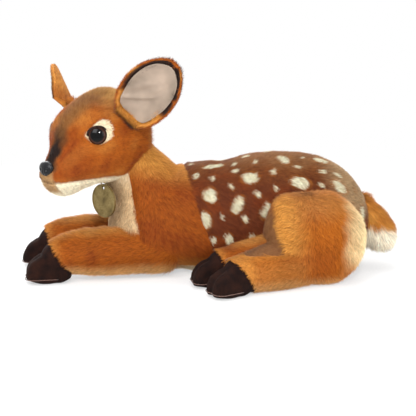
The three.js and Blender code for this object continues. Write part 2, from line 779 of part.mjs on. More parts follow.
// A domed button on a stem, with the foot of its dome sunk by the seat's depth
function button(radius, bulge, heightShare = 1, slack = 0) {
  const profile = [new THREE.Vector2(0, -seatDepth - slack)];
  for (let i = 0; i <= domeRings; i++) {
    const turn = (i / domeRings) * (Math.PI / 2);
    profile.push(new THREE.Vector2((radius + slack) * Math.cos(turn), (bulge + slack) * Math.sin(turn)));
  }
  profile.splice(1, 0, new THREE.Vector2(radius + slack, -seatDepth - slack));
  const dome = new THREE.LatheGeometry(profile, domeSides).rotateX(Math.PI / 2).scale(1, heightShare, 1);
  return solidOf(dome).add(rod(stemRadius + slack, -stemLength - slack, 0));
}
const washerFront = -plushWall - clothBow;
const washerBack = washerFront - washerThickness;
const washerRoom = rod(washerRadius + fitGap, washerBack - fitGap, washerFront + fitGap);
const washerWell = rod(washerRadius + fitGap, washerBack - fitGap, 0);
const washer = rod(washerRadius, washerBack, washerFront).subtract(rod(stemRadius + fitGap, -stemLength, 0));

// A cupped leaf that lies in the XZ plane, hollow towards -Y, between two distances behind its front face
function leaf(name, front, back, edge) {
  const [halfWidthShare, cupShare] = [column(earWidthShares, 1), column(earCupShares[name], 1)];
  const at = (i, j, behind) => {
    const along = edge + (i / leafRings) * (earLength - 2 * edge);
    const halfWidth = halfWidthShare(along / earLength) * earWidth;
    const wide = ((j / leafStrips) * 2 - 1) * Math.max(halfWidth - edge, edge / 2);
    const curl = earCup * cupShare(along / earLength) * (wide / halfWidth) ** 2;
    return vector(wide, behind - curl, along);
  };
  const ring = (i) => [
    ...Array.from({ length: leafStrips + 1 }, (_, j) => at(i, j, front)),
    ...Array.from({ length: leafStrips + 1 }, (_, j) => at(i, leafStrips - j, back)),
  ];
  const rings = Array.from({ length: leafRings + 1 }, (_, i) => ring(i)).flat();
  const middle = (i) => at(i, leafStrips / 2, (front + back) / 2);
  return solidOf(closedTube([middle(0), ...rings, middle(leafRings)], 2 * (leafStrips + 1)));
}

// The frame of an ear: X along its root, Z to its tip, hollow towards -Y
function earFrame(name, side) {
  const root = seatOnHead(vector(0, 0, 0), headWay(side * earRootYaw, earRootRise));
  const centre = vector(0, 0, earRollRadius - earRollSink).applyMatrix4(root);
  const up = headWay(side * earYaw[name], earRise[name]).transformDirection(headPlace);
  const opening = headWay(side * earOpeningYaw[name], 0).transformDirection(headPlace);
  const across = opening.negate().cross(up).normalize();
  return new THREE.Matrix4().makeBasis(across, up.clone().cross(across), up).setPosition(centre);
}

const sideSigns = { left: 1, right: -1 };
const eyes = {};
const ears = {};
for (const [name, side] of Object.entries(sideSigns)) {
  eyes[name] = seatOnHead(vector(-eyeAhead, 0, 0), headWay(side * eyeYaw, eyeRise));
  ears[name] = earFrame(name, side);
}
const nosePlace = seatOnHead(vector(-noseAhead, 0, -noseDrop), headWay(0, noseRise));
const noseShare = noseHeight / noseWidth;

// The head's cloth: a white jaw panel and a patch round each eye are let into the tan skin
const patchPrism = (name, side, away) => {
  const oval = new THREE.Shape().absellipse(0, 0, eyePatchLength / 2 + away, eyePatchHeight / 2 + away);
  const cut = { depth: skullToNape, bevelEnabled: false, curveSegments: ovalSegments };
  const prism = new THREE.ExtrudeGeometry(oval, cut).translate(side * eyePatchShift, 0, -skullToNape / 2);
  return solidOf(prism.rotateZ(side * eyePatchTilt * degrees), eyes[name]);
};
const earRootRoom = bar(earRollRadius + fitGap, earRootLength + 2 * fitGap);
const buttonPlaces = [...Object.values(eyes), nosePlace];
const rooms = joined([
  ...Object.values(eyes).map((place) => moved(button(eyeRadius, eyeBulge, 1, fitGap), place)),
  ...Object.values(ears).map((place) => moved(earRootRoom, place)),
  moved(button(noseWidth / 2, noseBulge, noseShare, fitGap), nosePlace),
  ...buttonPlaces.map((place) => moved(washerRoom, place)),
]);
const headCloth = headSolid(0).subtract(headSolid(plushWall)).intersect(headSide).subtract(rooms);
const jawTilt = jawSeamTilt * degrees;
const [crownCloth, jawCloth] = splitBySeam(
  headCloth,
  vector(0, 0, -jawSeamDrop).applyMatrix4(headPlace),
  vector(Math.sin(jawTilt), 0, Math.cos(jawTilt)).transformDirection(headPlace),
);
const head = group(headPlace, deer);
let skin = crownCloth;
for (const [name, side] of Object.entries(sideSigns)) {
  skin = skin.subtract(patchPrism(name, side, seamGap / 2));
  const patch = headCloth.intersect(patchPrism(name, side, -seamGap / 2));
  add(head, `eye_patch_${name}`, largest(patch), cream, headPlace);
}
add(head, "head_skin", largest(skin), tan, headPlace);
add(head, "jaw_panel", jawCloth, cream, headPlace);

const washerWells = joined(buttonPlaces.map((place) => moved(washerWell, place)));
const headCore = headSolid(plushWall + fitGap).intersect(headSide).subtract(rooms).subtract(washerWells);
add(head, "head_stuffing", largest(headCore), fibre, headPlace);
for (const name of Object.keys(sideSigns)) {
  add(head, `eye_${name}`, moved(button(eyeRadius, eyeBulge), eyes[name]), eyeBlack, headPlace);
  add(head, `eye_washer_${name}`, moved(washer, eyes[name]), washerWhite, headPlace);
}
add(head, "nose", moved(button(noseWidth / 2, noseBulge, noseShare), nosePlace), noseBlack, headPlace);
add(head, "nose_washer", moved(washer, nosePlace), washerWhite, headPlace);

// Ears
for (const [name, place] of Object.entries(ears)) {
  const ear = group(place, deer);
  const back = leaf(name, 0, earThickness, 0).add(bar(earRollRadius, earRootLength));
  const hollow = leaf(name, -fitGap, earThickness, 0);
  const lining = leaf(name, -fitGap - liningThickness, 0, liningInset).subtract(hollow).subtract(earRootRoom);
  add(ear, `ear_${name}`, moved(back, place), chestnut, place);
  add(ear, `ear_lining_${name}`, moved(largest(lining), place), satin, place);
}

// Medallion. It faces along X of its frame, and the ring hangs in the frame's XZ plane from a loop along Y.
const medalPlace = placed(-loopAhead, -loopAside, loopLift, 180 + medalYaw);
const ringTop = loopCordRadius + linkPlay + ringWireRadius;
const ringMiddle = ringTop - ringRadius;
const ringFoot = ringMiddle - ringRadius;
const holeMiddle = ringFoot + ringWireRadius + linkPlay - medalHoleRadius;
const medalMiddle = holeMiddle + medalHoleInset - medalRadius;
const loopPath = new THREE.CatmullRomCurve3([
  vector(-loopReach, -loopWidth / 2, loopWidth / 2),
  vector(-loopWidth, -loopWidth / 2, loopWidth / 4),
  vector(-loopWidth / 4, -loopWidth / 3, 0),
  vector(0, 0, 0),
  vector(-loopWidth / 4, loopWidth / 3, 0),
  vector(-loopWidth, loopWidth / 2, loopWidth / 4),
  vector(-loopReach, loopWidth / 2, loopWidth / 2),
]);
const cordSection = new THREE.Shape().absarc(0, 0, loopCordRadius, 0, 2 * Math.PI);
const cordPull = { steps: cordSteps, curveSegments: cordSegments, extrudePath: loopPath };
const loop = solidOf(new THREE.ExtrudeGeometry(cordSection, cordPull), medalPlace);
add(deer, "throat_loop", largest(loop.subtract(bodySolid(-fitGap))), cord);

const wireRing = new THREE.TorusGeometry(ringRadius, ringWireRadius, ringWireSegments, ringSegments);
const ring = solidOf(wireRing.rotateX(Math.PI / 2).translate(0, 0, ringMiddle), medalPlace);
add(group(medalPlace, deer), "jump_ring", ring, brass, medalPlace);

const face = medalThickness / 2;
const rimFoot = medalRadius - medalRimWidth;
const disc = new THREE.LatheGeometry(
  [
    [0, -face],
    [rimFoot, -face],
    [rimFoot, -face - medalRimHeight],
    [medalRadius, -face - medalRimHeight],
    [medalRadius, face + medalRimHeight],
    [rimFoot, face + medalRimHeight],
    [rimFoot, face],
    [0, face],
  ].map(([radius, along]) => new THREE.Vector2(radius, along)),
  medalSegments,
).rotateZ(-Math.PI / 2);
const hole = moved(bar(medalHoleRadius, medalRadius, rodSides), placed(0, 0, holeMiddle));
const medal = solidOf(disc.translate(0, 0, medalMiddle)).subtract(hole);
add(group(medalPlace, deer), "medallion", moved(medal, medalPlace), brass, medalPlace);

export default deer;
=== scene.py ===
"""A lying plush fawn: stuffed pile cloth sewn from panels, suede hooves, satin ear linings and a brass medallion."""

import bpy
import numpy as np
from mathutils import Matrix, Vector
from mathutils.bvhtree import BVHTree


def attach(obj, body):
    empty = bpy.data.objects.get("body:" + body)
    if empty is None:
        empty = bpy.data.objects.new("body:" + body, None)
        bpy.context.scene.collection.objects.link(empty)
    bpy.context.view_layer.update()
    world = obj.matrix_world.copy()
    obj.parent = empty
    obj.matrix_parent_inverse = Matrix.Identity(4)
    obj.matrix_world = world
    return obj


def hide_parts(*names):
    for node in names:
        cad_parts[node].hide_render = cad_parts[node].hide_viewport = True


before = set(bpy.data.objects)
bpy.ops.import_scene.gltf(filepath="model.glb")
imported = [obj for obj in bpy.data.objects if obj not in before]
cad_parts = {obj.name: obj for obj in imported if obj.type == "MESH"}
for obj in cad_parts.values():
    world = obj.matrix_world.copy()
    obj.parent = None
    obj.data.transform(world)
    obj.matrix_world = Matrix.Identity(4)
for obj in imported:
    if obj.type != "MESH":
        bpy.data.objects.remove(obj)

bl_info = {
    "name": "Plush Fawn",
    "version": (1, 0, 0),
    "blender": (4, 5, 0),
    "location": "View3D > Sidebar > Fawn",
    "description": "Sews the plush fawn round its packed solids",
    "category": "Object",
}

MM = 0.001

# Shapes of the stuffed forms. Each row is one ring: its place along the form, the rise and the sideways shift
# of its middle, its half height and its half width, as shares of the form's length, height and width.
TORSO = [
    [0.0, 0.34, 0, 0.28, 0.35],
    [0.1, 0.385, 0, 0.34, 0.42],
    [0.28, 0.465, 0, 0.43, 0.465],
    [0.45, 0.465, 0, 0.463, 0.475],
    [0.58, 0.492, 0, 0.492, 0.49],
    [0.7, 0.496, 0, 0.496, 0.5],
    [0.8, 0.462, 0, 0.462, 0.49],
    [0.89, 0.41, 0, 0.405, 0.465],
    [1.0, 0.34, 0, 0.33, 0.42],
]
NECK = [
    [0.0, 0.0, 0.0, 0.62, 0.58],
    [0.33, 0.04, -0.02, 0.5, 0.52],
    [0.62, 0.02, -0.04, 0.42, 0.47],
    [1.0, -0.03, -0.04, 0.38, 0.44],
]
HEAD = [
    [0.0, 0.0, 0, 0.36, 0.4],
    [0.15, -0.005, 0, 0.44, 0.455],
    [0.34, -0.016, 0, 0.472, 0.495],
    [0.49, -0.012, 0, 0.463, 0.483],
    [0.62, -0.035, 0, 0.4, 0.4],
    [0.75, -0.08, 0, 0.29, 0.28],
    [0.85, -0.11, 0, 0.235, 0.222],
    [0.93, -0.125, 0, 0.185, 0.19],
    [1.0, -0.145, 0, 0.145, 0.155],
]
FRONT_LEG = [
    [0.0, -0.12, 0, 0.3, 0.4],
    [0.12, -0.065, 0, 0.39, 0.44],
    [0.26, -0.015, 0, 0.465, 0.48],
    [0.5, 0, 0, 0.5, 0.5],
    [1.0, 0, 0, 0.48, 0.42],
]
SHANK = [
    [0.0, -0.1, 0, 0.34, 0.36],
    [0.2, -0.08, 0, 0.39, 0.42],
    [0.5, 0.0, 0, 0.5, 0.5],
    [0.8, 0.06, 0, 0.56, 0.52],
    [1.0, 0.06, 0, 0.56, 0.5],
]
THIGH = [
    [0.0, -0.02, 0, 0.44, 0.42],
    [0.3, 0, 0, 0.49, 0.49],
    [0.6, 0, 0, 0.5, 0.5],
    [1.0, 0.02, 0, 0.42, 0.4],
]
ROUND = [[0.0, 0, 0, 0.4, 0.4], [0.5, 0, 0, 0.5, 0.5], [1.0, 0, 0, 0.4, 0.4]]
TAIL = [
    [0.0, 0, 0, 0.3, 0.3],
    [0.3, 0, 0, 0.42, 0.41],
    [0.65, 0.03, 0, 0.5, 0.5],
    [1.0, 0.1, 0, 0.42, 0.44],
]
EAR_WIDTH = {
    "left": [[0.0, 0.24], [0.14, 0.38], [0.36, 0.47], [0.56, 0.5], [0.76, 0.44], [0.92, 0.27], [1.0, 0.09]],
    "right": [[0.0, 0.4], [0.14, 0.5], [0.36, 0.53], [0.56, 0.51], [0.76, 0.42], [0.92, 0.25], [1.0, 0.09]],
}
EAR_CUP = {
    "left": [[0.0, 0.3], [0.3, 1], [0.7, 0.8], [1.0, 0.05]],
    "right": [[0.0, 1.3], [0.14, 1.1], [0.32, 0.8], [0.6, 0.5], [0.85, 0.22], [1.0, 0.05]],
}

# Each stuffed form: length, height and width in mm, its table, the shares that its rounded ends take, and how full
# its ovals are, where 2 is an ellipse and more is nearer a box
FORMS = {
    "torso": (280, 128, 112, TORSO, (0.12, 0.19), 2.4),
    "neck": (90, 80, 76, NECK, (0.02, 0.02), 2),
    "head": (134, 98, 92, HEAD, (0.25, 0.055), 2),
    "front_leg": (150, 47, 42, FRONT_LEG, (0.12, 0.157), 2),
    "shank_left": (142, 49, 47, SHANK, (0.1, 0.16), 2.3),
    "shank_right": (128, 49, 47, SHANK, (0.1, 0.16), 2.3),
    "thigh": (104, 95, 66, THIGH, (0.26, 0.38), 2.3),
    "haunch": (104, 92, 56, ROUND, (0.42, 0.42), 2),
    "tail": (64, 34, 40, TAIL, (0.1, 0.32), 2),
    "pouch": (120, 24, 52, ROUND, (0.3, 0.3), 2),
}


def turned(x, y, z, yaw=0.0, pitch=0.0, roll=0.0):
    """A 4x4 frame at x, y, z in mm, turned about Z by yaw, then its own Y by pitch and its own X by roll."""
    (cz, cy, cx), (sz, sy, sx) = [f(np.radians([yaw, pitch, roll])) for f in (np.cos, np.sin)]
    about_z = np.array([[cz, -sz, 0], [sz, cz, 0], [0, 0, 1]])
    about_y = np.array([[cy, 0, sy], [0, 1, 0], [-sy, 0, cy]])
    about_x = np.array([[1, 0, 0], [0, cx, -sx], [0, sx, cx]])
    m = np.eye(4)
    m[:3, :3] = about_z @ about_y @ about_x
    m[:3, 3] = x, y, z
    return m


def at(m, points):
    """Points given in a frame, taken to the fawn's own frame."""
    points = np.asarray(points, float)
    return points @ m[:3, :3].T + m[:3, 3]


def within(m, points):
    """Points of the fawn's own frame, taken into a frame."""
    return (points - m[:3, 3]) @ m[:3, :3]


NECK_AT = turned(-84, 0, 60, 188, -57.5)
HEAD_AT = turned(-142, -10, 153, 43, -22)
SKULL_TO_NAPE = 43
HEAD_FORM_AT = HEAD_AT @ turned(SKULL_TO_NAPE, 0, 0, 180)
TORSO_AT = turned(-141, 0, -0.5)
THIGH_AT = turned(18, -60, 47)
HAUNCH_AT = turned(18, 42, 45.5)
SHANK_AT = {"left": turned(-29, -106, 24, 25), "right": turned(-43, -66, 24, 7)}
SPLAY = 3.4  # degrees that each foreleg points outwards
SPLAY_REACH = np.sin(np.radians(SPLAY)) * FORMS["front_leg"][0]
FRONT_LEG_AT = {
    "left": turned(-214, -27 - SPLAY_REACH, 30.5, SPLAY),
    "right": turned(-223, 27 + SPLAY_REACH, 30.5, -SPLAY),
}
TAIL_AT = turned(128, 0, 77, 0, 58)
SWIVEL = at(NECK_AT, (75, 0, 0))  # where the head turns on the neck
NECK_WAY = NECK_AT[:3, 0]


def column(table, index):
    """A Catmull-Rom curve through one column of a table, read off at even steps, as (places, values)."""
    rows = np.array(table, float)[:, [0, index]]
    padded_rows = np.vstack([rows[:1], rows, rows[-1:]])
    t = np.linspace(0, 1, 24, endpoint=False)[:, None]
    curve = []
    for k in range(len(rows) - 1):
        a, b, c, d = padded_rows[k : k + 4]
        u, v = (c - a) / 2, (d - b) / 2
        curve.append((2 * b - 2 * c + u + v) * t**3 + (-3 * b + 3 * c - 2 * u - v) * t**2 + u * t + b)
    curve = np.vstack(curve + [rows[-1:]])
    return curve[:, 0], curve[:, 1]


def fuller(share, fullness):
    """An oval's share of its radius, filled out towards a box where fullness is above 2."""
    return np.sign(share) * np.abs(share) ** (2 / fullness)


def stuffed(name, m, rings=48, sides=64, inset=0.0):
    """Rings of a stuffed form, from its start to its end. At place p its middle is (p length, shift(p) width,
    rise(p) height), and a ring is an oval round the centre line: half height x cos t up and half width x sin t
    aside, scaled by sqrt(1 - e^2) where e runs from 0 to 1 into a rounded end."""
    length, height, width, table, caps, fullness = FORMS[name]
    turn = np.linspace(0, np.pi / 2, rings // 4, endpoint=False)
    start = caps[0] * (1 - np.cos(turn))
    middle = np.linspace(caps[0], 1 - caps[1], rings // 2, endpoint=False)
    end = 1 - caps[1] * (1 - np.cos(np.pi / 2 - turn))
    place = np.concatenate([start, middle, end, [1.0]])
    rise, shift, tall, wide = [np.interp(place, *column(table, k)) for k in (1, 2, 3, 4)]
    into = np.maximum(np.clip(1 - place / caps[0], 0, 1), np.clip(1 - (1 - place) / caps[1], 0, 1))
    roundness = np.sqrt(np.clip(1 - into**2, 0, 1))
    centre = np.stack([inset + place * (length - 2 * inset), shift * width, rise * height], -1)
    along = np.gradient(centre, axis=0)
    along /= np.linalg.norm(along, axis=1, keepdims=True)
    side = np.cross([0, 0, 1], along)
    side /= np.linalg.norm(side, axis=1, keepdims=True)
    up = np.cross(along, side)
    t = np.linspace(2 * np.pi, 0, sides, endpoint=False)
    high = ((tall * height - inset) * roundness)[:, None] * fuller(np.cos(t), fullness)
    out = ((wide * width - inset) * roundness)[:, None] * fuller(np.sin(t), fullness)
    return at(m, centre[:, None] + up[:, None] * high[..., None] + side[:, None] * out[..., None])


def tube_faces(count, sides):
    """Quads of a tube of rings, wound to face outwards when the rings run along +X."""
    ring, side = np.meshgrid(np.arange(count - 1), np.arange(sides), indexing="ij")
    after = (side + 1) % sides
    a, b = ring * sides + side, ring * sides + after
    return np.stack([a, b, b + sides, a + sides], -1).reshape(-1, 4)


def closed_rings(rings):
    """Points and faces of a tube whose first and last rings are drawn together to a pole."""
    count, sides = rings.shape[:2]
    body = rings[1:-1].reshape(-1, 3)
    poles = [rings[0].mean(0), rings[-1].mean(0)]
    points = np.vstack([body, poles])
    quads = tube_faces(count - 2, sides)
    first, last = len(body), len(body) + 1
    k = np.arange(sides)
    after = (k + 1) % sides
    end = (count - 3) * sides
    start_fan = np.stack([np.full(sides, first), after, k, k], -1)
    end_fan = np.stack([np.full(sides, last), end + k, end + after, end + after], -1)
    return points, np.vstack([quads, start_fan, end_fan])


def new_mesh(name, points, faces):
    """A mesh of points in mm and of faces, where a face that repeats its last corner is a triangle."""
    faces = np.asarray(faces)
    mesh = bpy.data.meshes.new(name)
    if faces.shape[1] == 4:
        three = faces[:, 3] == faces[:, 2]
        loops = np.concatenate([faces[~three].ravel(), faces[three, :3].ravel()])
        sizes = np.concatenate([np.full((~three).sum(), 4), np.full(three.sum(), 3)])
    else:
        loops, sizes = faces.ravel(), np.full(len(faces), 3)
    mesh.vertices.add(len(points))
    mesh.vertices.foreach_set("co", (np.asarray(points, float) * MM).astype(np.float32).ravel())
    mesh.loops.add(len(loops))
    mesh.loops.foreach_set("vertex_index", loops.astype(np.int32))
    mesh.polygons.add(len(sizes))
    mesh.polygons.foreach_set("loop_start", (np.cumsum(sizes) - sizes).astype(np.int32))
    mesh.update(calc_edges=True)
    mesh.shade_smooth()
    return mesh


def new_piece(name, mesh, material=None):
    """An object at the origin that shows a mesh."""
    piece = bpy.data.objects.new(name, mesh)
    bpy.context.scene.collection.objects.link(piece)
    if material:
        mesh.materials.append(material)
    return piece


def sewn(piece, body, slot, *nodes):
    """A finished piece, fixed to its body, with the nodes that it stands for hidden. The slot is not used."""
    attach(piece, body)
    if nodes:
        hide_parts(*nodes)
    return piece


def shaped(name, points, faces, material, body, slot, *nodes, **fields):
    """A finished piece of points and faces, with the numbers or colours that its finish reads at each point."""
    mesh = new_mesh(name, points, faces)
    for field, values in fields.items():
        set_attribute(mesh, field, values)
    return sewn(new_piece(name, mesh, finish(material)), body, slot, *nodes)


def mesh_arrays(piece):
    """A piece's points in mm and its faces as quads, with its modifiers applied."""
    seen = piece.evaluated_get(bpy.context.evaluated_depsgraph_get())
    mesh = seen.to_mesh()
    points = np.empty(len(mesh.vertices) * 3, np.float32)
    mesh.vertices.foreach_get("co", points)
    loops = np.empty(len(mesh.loops), np.int32)
    mesh.loops.foreach_get("vertex_index", loops)
    starts = np.empty(len(mesh.polygons), np.int32)
    mesh.polygons.foreach_get("loop_start", starts)
    sizes = np.diff(np.append(starts, len(loops)))
    faces = np.stack([loops[starts], loops[starts + 1], loops[starts + 2], loops[starts + sizes - 1]], -1)
    seen.to_mesh_clear()
    return points.reshape(-1, 3).astype(float) / MM, faces


def normals_of(points, faces):
    """Unit normals at the points, from the faces' diagonals."""
    cross = np.cross(points[faces[:, 2]] - points[faces[:, 0]], points[faces[:, 3]] - points[faces[:, 1]])
    tri = faces[:, 3] == faces[:, 2]
    cross[tri] = np.cross(
        points[faces[tri, 1]] - points[faces[tri, 0]], points[faces[tri, 2]] - points[faces[tri, 0]]
    )
    total = np.zeros_like(points)
    for k in range(4):
        np.add.at(total, faces[:, k], cross)
    return total / np.maximum(np.linalg.norm(total, axis=1, keepdims=True), 1e-12)


RELAX_SHARES = (0.5, -0.53)


def relaxed(points, faces, rounds):
    """Taubin smoothing: each point moves half way to the mean of its neighbours, then a little further back."""
    pairs = np.vstack([faces[:, [0, 1]], faces[:, [1, 2]], faces[:, [2, 3]], faces[:, [3, 0]]])
    pairs = np.vstack([pairs, pairs[:, ::-1]])
    start, end = pairs.T
    count = np.maximum(np.bincount(start, minlength=len(points)), 1)[:, None]
    for _ in range(rounds):
        for share in RELAX_SHARES:
            total = np.stack([np.bincount(start, points[end, k], len(points)) for k in range(3)], -1)
            points = points + share * (total / count - points)
    return points


def modified(points, faces, kind, **settings):
    """A mesh's points and faces after one modifier."""
    rough = new_piece("rough", new_mesh("rough", points, faces))
    modifier = rough.modifiers.new(kind.title(), kind)
    for key, value in settings.items():
        setattr(modifier, key, value)
    p, f = mesh_arrays(rough)
    bpy.data.objects.remove(rough)
    return p, f


def remeshed(points, faces, voxel):
    """The skin round closed forms that may run into one another, in even quads."""
    return modified(points, faces, "REMESH", mode="VOXEL", voxel_size=voxel * MM)


def merged(parts):
    """Several meshes, each its points and its faces, as one."""
    starts = np.cumsum([0] + [len(p) for p, _ in parts])
    return np.vstack([p for p, _ in parts]), np.vstack([f + start for (_, f), start in zip(parts, starts)])


def joined(grids, voxel, rounds):
    """Stuffed forms grown into one skin: voxel remeshed together, then relaxed so that their joins flow, and split
    once so that the skin is fine enough for its folds."""
    p, f = remeshed(*merged([closed_rings(rings) for rings in grids]), voxel)
    return modified(relaxed(p, f, rounds), f, "SUBSURF", levels=1, render_levels=1)


def flattened(points):
    """Points that would sink into the floor, laid on it."""
    out = points.copy()
    out[:, 2] = np.maximum(out[:, 2], 0)
    return out


def plane(point, way):
    """The signed distance from a plane, positive along its direction, and that direction."""
    way = np.asarray(way, float) / np.linalg.norm(way)

    def distance(p):
        return (p - np.asarray(point, float)) @ way

    return distance, way


LEAST_GRADE = 0.2  # below this a skin runs too nearly along the seam to be drawn onto it


def snapped(points, faces, distance, way, reach):
    """Points near a seam drawn onto it along the skin, so that the seam's edge is even."""
    normal = normals_of(points, faces)
    slide = way - normal * (normal @ way)[:, None]
    grade = slide @ way
    gap = distance(points)
    near = (np.abs(gap) < reach) & (grade > LEAST_GRADE)
    moved = points.copy()
    moved[near] -= (gap[:, None] * slide / np.maximum(grade, LEAST_GRADE)[:, None])[near]
    return moved


def swollen(points, faces, height):
    """Points moved out of their skin by a height in mm, one for all or one each."""
    return points + normals_of(points, faces) * np.reshape(height, (-1, 1))


def sunk(points, faces, distance, depth, width):
    """A seam's groove: depth x exp(-(d / width)^2) inwards at distance d from it."""
    return swollen(points, faces, -depth * np.exp(-((distance(points) / width) ** 2)))


def centres(points, faces):
    """The middle of each face."""
    return points[faces].mean(1)


def kept(points, faces, keep):
    """The part of a mesh whose faces are kept."""
    faces = faces[keep]
    used, back = np.unique(faces, return_inverse=True)
    return points[used], back.reshape(faces.shape)


def linear(hex_colour):
    """An sRGB hex colour as linear red, green and blue."""
    value = np.array([int(hex_colour[k : k + 2], 16) for k in (1, 3, 5)]) / 255
    return np.where(value <= 0.04045, value / 12.92, ((value + 0.055) / 1.055) ** 2.4)


def blended(base, parts):
    """Colours laid over a base one after another, each as (colour, share at every point)."""
    colour = np.asarray(base)
    for over, share in parts:
        share = np.clip(share, 0, 1)[:, None]
        colour = colour * (1 - share) + np.asarray(over) * share
    return colour


def smooth(low, high, x):
    """0 below low and 1 above high, with a soft step between."""
    t = np.clip((x - low) / (high - low), 0, 1)
    return t * t * (3 - 2 * t)


def set_attribute(mesh, name, values):
    """A number or a colour at each point of a mesh."""
    if values.ndim == 1:
        mesh.attributes.new(name, "FLOAT", "POINT").data.foreach_set("value", values.astype(np.float32))
    else:
        full = np.hstack([values, np.ones((len(values), 1))]).astype(np.float32)
        mesh.attributes.new(name, "FLOAT_COLOR", "POINT").data.foreach_set("color", full.ravel())


def waves(points, size, seed):
    """A smooth field of numbers, mostly from -1 to 1: nine seeded sine waves about size mm long, added up and
    divided by four."""
    draw = np.random.default_rng(seed)
    total = np.zeros(len(points))
    for _ in range(9):
        way = draw.normal(size=3)
        way *= 2 * np.pi / (size * draw.uniform(0.7, 1.5) * np.linalg.norm(way))
        total += np.sin(points @ way + draw.uniform(0, 2 * np.pi))
    return total / 4


# Finishes


def node_adder(tree):
    """Empties a node tree and gives a function that adds one node to it: its type, its settings and its links. An
    input is named, with _ for a space, or numbered, such as i0."""
    tree.nodes.clear()

    def add(kind, settings=None, **inputs):
        node = tree.nodes.new("ShaderNode" + kind)
        for key, value in (settings or {}).items():
            setattr(node, key, value)
        for key, value in inputs.items():
            numbered = key[0] == "i" and key[1:].isdigit()
            socket = node.inputs[int(key[1:]) if numbered else key.replace("_", " ")]
            if isinstance(value, bpy.types.NodeSocket):
                tree.links.new(value, socket)
            else:
                socket.default_value = value
        return node.outputs

    return add


def new_finish(name):
    """An empty material and the function that adds a node to it."""
    material = bpy.data.materials.new(name)
    material.use_nodes = True
    return material, node_adder(material.node_tree)


def rgba(hex_colour):
    """An sRGB hex colour as a node's linear colour."""
    return (*[float(c) for c in linear(hex_colour)], 1.0)


def ramp_stops(outputs, stops):
    """Gives a colour ramp its stops, each a place and a grey or a colour."""
    ramp = outputs[0].node.color_ramp
    while len(ramp.elements) < len(stops):
        ramp.elements.new(0.5)
    for element, (place, value) in zip(ramp.elements, stops):
        element.position = place
        element.color = rgba(value) if isinstance(value, str) else (value, value, value, 1)
    return outputs


def cloth_finish():
    """Knitted polyester pile, brushed: colour from the coat, mottled in clumps 4 mm apart, with 1 mm fibres in
    relief and a soft sheen. Real fibres are ten times finer, too fine to show."""
    material, add = new_finish("knitted_pile_backing")
    where = add("TexCoord")["Object"]
    coat = add("Attribute", {"attribute_name": "coat"})["Color"]
    clump = add("TexNoise", Vector=where, Scale=260.0, Detail=3.0)["Fac"]
    fibre = add("TexNoise", Vector=where, Scale=900.0, Detail=4.0)["Fac"]
    broad = add("Math", {"operation": "MULTIPLY_ADD"}, i0=clump, i1=0.5, i2=0.75)["Value"]
    fine = add("Math", {"operation": "MULTIPLY_ADD"}, i0=fibre, i1=0.5, i2=0.75)["Value"]
    both = add("Math", {"operation": "MULTIPLY"}, i0=broad, i1=fine)["Value"]
    tone = add("HueSaturation", Color=coat, Value=both)["Color"]
    bump = add("Bump", Strength=0.6, Distance=0.0012, Height=fibre)["Normal"]
    shader = add("BsdfPrincipled", Base_Color=tone, Roughness=0.9, Normal=bump, Sheen_Weight=0.08,
                 Sheen_Roughness=0.5, Specular_IOR_Level=0.1)["BSDF"]
    add("OutputMaterial", Surface=shader)
    return material


def pile_finish():
    """Polyester pile fibres: deeper at the root, lighter at the tip, and each clump a little different."""
    material, add = new_finish("polyester_pile")
    coat = add("Attribute", {"attribute_name": "coat"})["Color"]
    height = add("Attribute", {"attribute_name": "height"})["Fac"]
    clump = add("Attribute", {"attribute_name": "clump"})["Fac"]
    along = add("MapRange", i0=height, i3=0.45, i4=1.2)["Result"]
    each = add("MapRange", i0=clump, i3=0.64, i4=1.36)["Result"]
    both = add("Math", {"operation": "MULTIPLY"}, i0=along, i1=each)["Value"]
    tone = add("HueSaturation", Color=coat, Value=both)["Color"]
    shader = add("BsdfPrincipled", Base_Color=tone, Roughness=0.7, Sheen_Weight=0.08, Sheen_Roughness=0.4,
                 Specular_IOR_Level=0.12)["BSDF"]
    add("OutputMaterial", Surface=shader)
    return material


FINISHES = {}


def finish(name):
    """The finished material of that name, made once."""
    if name not in FINISHES:
        FINISHES[name] = MAKERS[name]()
    return FINISHES[name]


SWIRL, SWIRL_SIZE = 0.28, 26  # how far broad swirls turn the pile, and their size in mm
STRAY = 0.2  # how far single clumps stray from it
TUFT, TUFT_SIZE = [0.14, 0.21, 0.27], 4.5  # how far tufts shift red, green and blue, and their size in mm
ROOT_DEPTH = 0.5  # mm that a clump starts below the cloth
LEAST_HEIGHT = [0.02, 0.02, 0.04, 0.3]  # mm over the floor, for a clump's three roots and its tip
SPIKE = np.array([[0, 3, 2], [2, 3, 1], [1, 3, 0], [0, 2, 1]])
SPIKE_UV = np.array([[0.15, 0.12], [0.85, 0.12], [0.5, 0.2], [0.5, 0.9]])  # within a clump's own cell


